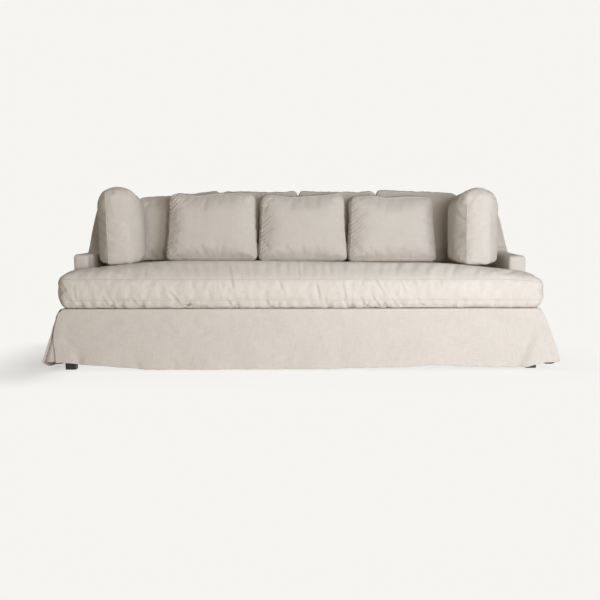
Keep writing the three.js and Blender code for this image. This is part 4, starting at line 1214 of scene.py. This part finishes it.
# How far a panel's end runs past its line: the front one opens at its corners
def endSpread(u, v, quarters):
    if quarters != 0:
        return (0.012 if quarters == 2 else 0.028) * v
    if u < 0:
        return 0.009 + 0.006 * v + 0.017 * math.sin(math.pi * v) ** 2
    return 0.084 * v ** 0.86 - 0.0005


def skirtPanel(name, panel, quarters):
    spec = skirtSpec
    height = spec["top"] - spec["hem"]
    columns, rows = round(2 * panel["half"] / spec["cell"]), round(height / spec["cell"])
    bm = bmesh.new()
    bmesh.ops.create_grid(bm, x_segments=columns, y_segments=rows, size=0.5)
    layer = bm.loops.layers.uv.new("weave")
    for face in bm.faces:
        for loop in face.loops:
            loop[layer].uv = (loop.vert.co.x * panel["half"] * 2 + quarters * 0.71, loop.vert.co.y * height)
    for vert in bm.verts:
        u, v = vert.co.x * 2, 0.5 - vert.co.y
        x = u * (panel["half"] + endSpread(u, v, quarters))
        hem = spec["hem"] + hemLift(u, x, quarters, panel)
        z = spec["top"] - v * (spec["top"] - hem)
        rounding = clampShare((abs(x) - panel["half"] + spec["topCorner"]) / spec["topCorner"])
        z -= spec["topCorner"] * (1 - math.sqrt(1 - rounding * rounding)) * (1 - v) ** 8
        ear = panel["ear"] if panel["frontEnd"] * u * panel["half"] > 0.277 else 0.0
        ear *= 1 - 0.35 * math.exp(-((v / 0.06) ** 2))
        out = swing(u, v, panel) + ear
        if quarters == 0:
            for *line, width, depth in skirtFolds:
                out -= depth * creaseAt(x, z, (*line, width)) * clampShare(out / 0.008)
            out += cornerFlap(x, z)
        loose = clampShare(0.2 + 3 * v)
        out += 0.0022 * loose * noise.noise(Vector((x * 7, quarters * 5, z * 9)))
        out += 0.0016 * loose * noise.noise(Vector((x * 26, quarters * 5 + 3, z * 26)))
        washed = abs(noise.noise(Vector((x * 6 + z * 3, quarters * 5 + 6, z * 15 - x * 2))))
        out += 0.0026 * loose * clampShare(1 - 6 * washed)
        # the hem's stitching puckers it
        near = math.exp(-(z - hem) / 0.018)
        out += 0.0018 * near * noise.noise(Vector((x * 48, quarters + 9, 0)))
        z += 0.0030 * near * noise.noise(Vector((x * 20, quarters + 2, 0)))
        vert.co = (x, -(panel["inner"] + spec["thickness"] + out), max(z, spec["hem"] - 0.002))
    bmesh.ops.rotate(bm, verts=bm.verts, cent=(0, 0, 0), matrix=Matrix.Rotation(quarters * math.pi / 2, 3, "Z"))
    bm.normal_update()
    mesh = bpy.data.meshes.new(name)
    if sum((f.normal.x * f.calc_center_median().x + f.normal.y * f.calc_center_median().y) for f in bm.faces) < 0:
        bmesh.ops.reverse_faces(bm, faces=bm.faces)
    bm.to_mesh(mesh)
    bm.free()
    piece = linkPiece(name + "_cloth", mesh, shadedSlipcoverLinen, "root", (name,))
    addThickness(piece, spec["thickness"])
    addSubdivision(piece)


for name, panel, quarters in skirtPanels:
    skirtPanel(name, panel, quarters)


pleatSpec = {"leg": 0.110, "slack": 0.008, "share": 0.85, "rim": 0.038, "cells": 26, "power": 1.2}


def kickPleat(end, side):
    name = "kick_pleat_%s_%s" % (end, side)
    ySign, xSign = (-1 if end == "front" else 1), (-1 if side == "left" else 1)
    innerX = sidePanel["inner"] + (earStep[side] if end == "front" else 0.0)
    innerY = longPanel["inner"]
    top = 0.2984 - pleatSpec["rim"] - 0.0003
    height = top - skirtSpec["hem"]
    slack = pleatSpec["slack"] + skirtSpec["wave"]
    bm = bmesh.new()
    bmesh.ops.create_grid(bm, x_segments=pleatSpec["cells"], y_segments=16, size=0.5)
    layer = bm.loops.layers.uv.new("weave")
    for face in bm.faces:
        for loop in face.loops:
            loop[layer].uv = (loop.vert.co.x * 0.26, loop.vert.co.y * height)
    for vert in bm.verts:
        t, v = vert.co.x + 0.5, 0.5 - vert.co.y
        spread = v ** pleatSpec["power"]
        legs = v ** skirtSpec["flarePower"]
        z = top - v * (height - skirtSpec["frontLift" if end == "front" else "cornerLift"] * 0.9)
        frontY = innerY - 0.0003 + legs * (longPanel["flare"] - slack)
        sideX = innerX - 0.0003 + legs * (sidePanel["flare"] - slack)
        cornerX = innerX - 0.0003 + spread * (sidePanel["flare"] + sidePanel["cornerFlare"]) * pleatSpec["share"]
        cornerY = innerY - 0.0003 + spread * longPanel["flare"] * pleatSpec["share"]
        chamfer = 0.0025 + sidePanel["cornerFlare"] * spread
        line = [
            (innerX - pleatSpec["leg"], frontY), (cornerX - chamfer, cornerY),
            (cornerX, cornerY - chamfer), (sideX, innerY - pleatSpec["leg"]),
        ]
        runs = [math.dist(a, b) for a, b in zip(line, line[1:])]
        far = t * sum(runs)
        for (a, b), run in zip(zip(line, line[1:]), runs):
            if far <= run or (a, b) == (line[2], line[3]):
                k = min(1, far / run)
                x, y = a[0] + (b[0] - a[0]) * k, a[1] + (b[1] - a[1]) * k
                break
            far -= run
        vert.co = (xSign * x, ySign * y, z)
    bm.normal_update()
    centre = Vector((xSign * (innerX - 0.3), ySign * (innerY - 0.3), 0.15))
    if sum(f.normal.dot(f.calc_center_median() - centre) for f in bm.faces) < 0:
        bmesh.ops.reverse_faces(bm, faces=bm.faces)
    mesh = bpy.data.meshes.new(name)
    bm.to_mesh(mesh)
    bm.free()
    piece = linkPiece(name + "_cloth", mesh, shadedSlipcoverLinen, "root", (name,))
    addThickness(piece, 0.0020)
    addSubdivision(piece)


for end in ("front", "rear"):
    for side in ("left", "right"):
        kickPleat(end, side)
print("skirt hung")


# Wadding, webbing and dust cover inside
def mergedCopy(name):
    bm = bmesh.new()
    bm.from_mesh(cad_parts[name].data)
    bmesh.ops.remove_doubles(bm, verts=bm.verts, dist=0.00005)
    return bm


for name in ("arm_padding_left", "arm_padding_right", "back_padding", "deck_pad"):
    bm = mergedCopy(name)
    bmesh.ops.subdivide_edges(bm, edges=[e for e in bm.edges if e.calc_length() > 0.06], cuts=1)
    bm.normal_update()
    side = name.rsplit("_", 1)[1]
    for v in bm.verts:
        v.co -= v.normal * 0.0008 * (0.5 + 0.5 * noise.noise(v.co * 25))
        if side in armSides:
            # squeezed in with its cover at the nose
            share = (armSpec["outer"] - abs(v.co.x)) / (armSpec["outer"] - armSpec["inner"])
            near = math.exp(-(((v.co.y - armSpec["front"]) / armSides[side]["narrowReach"]) ** 2))
            v.co.x += math.copysign(1.12 * armSides[side]["narrow"] * share * near, v.co.x)
    piece = linkPiece(name + "_felt", meshFrom(bm, name), cottonFelt, "root", (name,))
    for polygon in piece.data.polygons:
        polygon.use_smooth = False

for name in ["web_cross_%d" % (i + 1) for i in range(6)] + ["web_long_front", "web_long_rear"]:
    bm = mergedCopy(name)
    piece = linkPiece(name + "_strap", meshFrom(bm, name), juteWeave, "root", (name,))
    for polygon in piece.data.polygons:
        polygon.use_smooth = False

bm = mergedCopy("dust_cover")
dustCover = linkPiece("dust_cover_cloth", meshFrom(bm, "dust_cover"), blackCambric, "root", ("dust_cover",))
for polygon in dustCover.data.polygons:
    polygon.use_smooth = False
print("inside laid")


# Floor, backdrop and light

roomSetup = {
    "paper": tone(246, 245, 241), "floor": (1.45, 1.50, 1.54, 1), "bounce": (0.80, 0.75, 0.68, 1),
    "footprint": (1.20, 0.53, 0.0), "nearEdge": 0.06, "farEdge": 0.62,
    "shadeLeft": (-1.30, -1.05), "shadeShares": (0.52, 0.12),
    "ambient": 0.24, "ambientColour": (1.0, 0.92, 0.80, 1),
}

floorMesh = bpy.data.meshes.new("floor")
bm = bmesh.new()
bmesh.ops.create_grid(bm, x_segments=8, y_segments=8, size=30)
bm.to_mesh(floorMesh)
bm.free()
floor = bpy.data.objects.new("floor", floorMesh)
scene.collection.objects.link(floor)

material = bpy.data.materials.new("paperFloor")
material.use_nodes = True
tree = material.node_tree
tree.nodes.clear()
place = addNode(tree, "ShaderNodeTexCoord").outputs["Object"]
mirrored = addNode(tree, "ShaderNodeVectorMath", {0: place}, operation="ABSOLUTE").outputs["Vector"]
past = addNode(tree, "ShaderNodeVectorMath", {0: mirrored, 1: roomSetup["footprint"]}, operation="SUBTRACT")
past = addNode(tree, "ShaderNodeVectorMath", {0: past.outputs["Vector"], 1: (0, 0, 0)}, operation="MAXIMUM")
far = addNode(tree, "ShaderNodeVectorMath", {0: past.outputs["Vector"]}, operation="LENGTH").outputs["Value"]
fade = addNode(tree, "ShaderNodeMapRange", {
    "Value": far, "From Min": roomSetup["nearEdge"], "From Max": roomSetup["farEdge"],
    "To Min": 1.0, "To Max": 0.0,
}, interpolation_type="SMOOTHSTEP").outputs[0]
paper = addNode(tree, "ShaderNodeEmission", {"Color": roomSetup["paper"], "Strength": 1.0}).outputs[0]
lit = addNode(tree, "ShaderNodeBsdfDiffuse", {"Color": roomSetup["floor"]}).outputs[0]
bounce = addNode(tree, "ShaderNodeBsdfDiffuse", {"Color": roomSetup["bounce"]}).outputs[0]
rays = addNode(tree, "ShaderNodeLightPath").outputs
seen = mathNode(tree, "MAXIMUM", rays["Is Camera Ray"], rays["Is Glossy Ray"])
seen = mathNode(tree, "MAXIMUM", seen, rays["Is Transmission Ray"])
across = addNode(tree, "ShaderNodeSeparateXYZ", {0: place}).outputs[0]
side = addNode(tree, "ShaderNodeMapRange", {
    "Value": across, "From Min": roomSetup["shadeLeft"][0], "From Max": roomSetup["shadeLeft"][1],
    "To Min": roomSetup["shadeShares"][0], "To Max": roomSetup["shadeShares"][1],
}, interpolation_type="SMOOTHSTEP").outputs[0]
fade = mathNode(tree, "MULTIPLY", fade, side)
shown = addNode(tree, "ShaderNodeMixShader", {0: fade, 1: paper, 2: lit}).outputs[0]
final = addNode(tree, "ShaderNodeMixShader", {0: seen, 1: bounce, 2: shown}).outputs[0]
addNode(tree, "ShaderNodeOutputMaterial", {"Surface": final})
floorMesh.materials.append(material)

world = bpy.data.worlds.new("room")
scene.world = world
world.use_nodes = True
tree = world.node_tree
tree.nodes.clear()
rays = addNode(tree, "ShaderNodeLightPath").outputs
seen = mathNode(tree, "MAXIMUM", rays["Is Camera Ray"], rays["Is Glossy Ray"])
seen = mathNode(tree, "MAXIMUM", seen, rays["Is Transmission Ray"])
paper = addNode(tree, "ShaderNodeBackground", {"Color": roomSetup["paper"], "Strength": 1.0}).outputs[0]
ambient = addNode(tree, "ShaderNodeBackground", {
    "Color": roomSetup["ambientColour"], "Strength": roomSetup["ambient"],
}).outputs[0]
final = addNode(tree, "ShaderNodeMixShader", {0: seen, 1: ambient, 2: paper}).outputs[0]
addNode(tree, "ShaderNodeOutputWorld", {"Surface": final})

lamps = {
    "key": {"place": (1.8, -3.65, 0.80), "aim": (0.1, 0, 0.35), "size": 1.5, "power": 80, "colour": (0.92, 1.0, 1.11)},
    "front": {"place": (0.85, -5.5, 0.80), "aim": (0, 0, 0.4), "size": 1.0, "power": 70, "colour": (1.03, 0.98, 0.92)},
    "rear": {"place": (0.3, 4.6, 0.75), "aim": (0, 0.5, 0.4), "size": 1.6, "power": 100, "colour": (1.0, 1.0, 1.0)},
}
for name, lamp in lamps.items():
    data = bpy.data.lights.new(name, "AREA")
    data.shape = "SQUARE"
    data.size = lamp["size"]
    data.energy = lamp["power"]
    data.color = lamp["colour"]
    light = bpy.data.objects.new(name, data)
    light.location = lamp["place"]
    light.rotation_euler = (Vector(lamp["aim"]) - Vector(lamp["place"])).to_track_quat("-Z", "Y").to_euler()
    scene.collection.objects.link(light)
print("room lit")
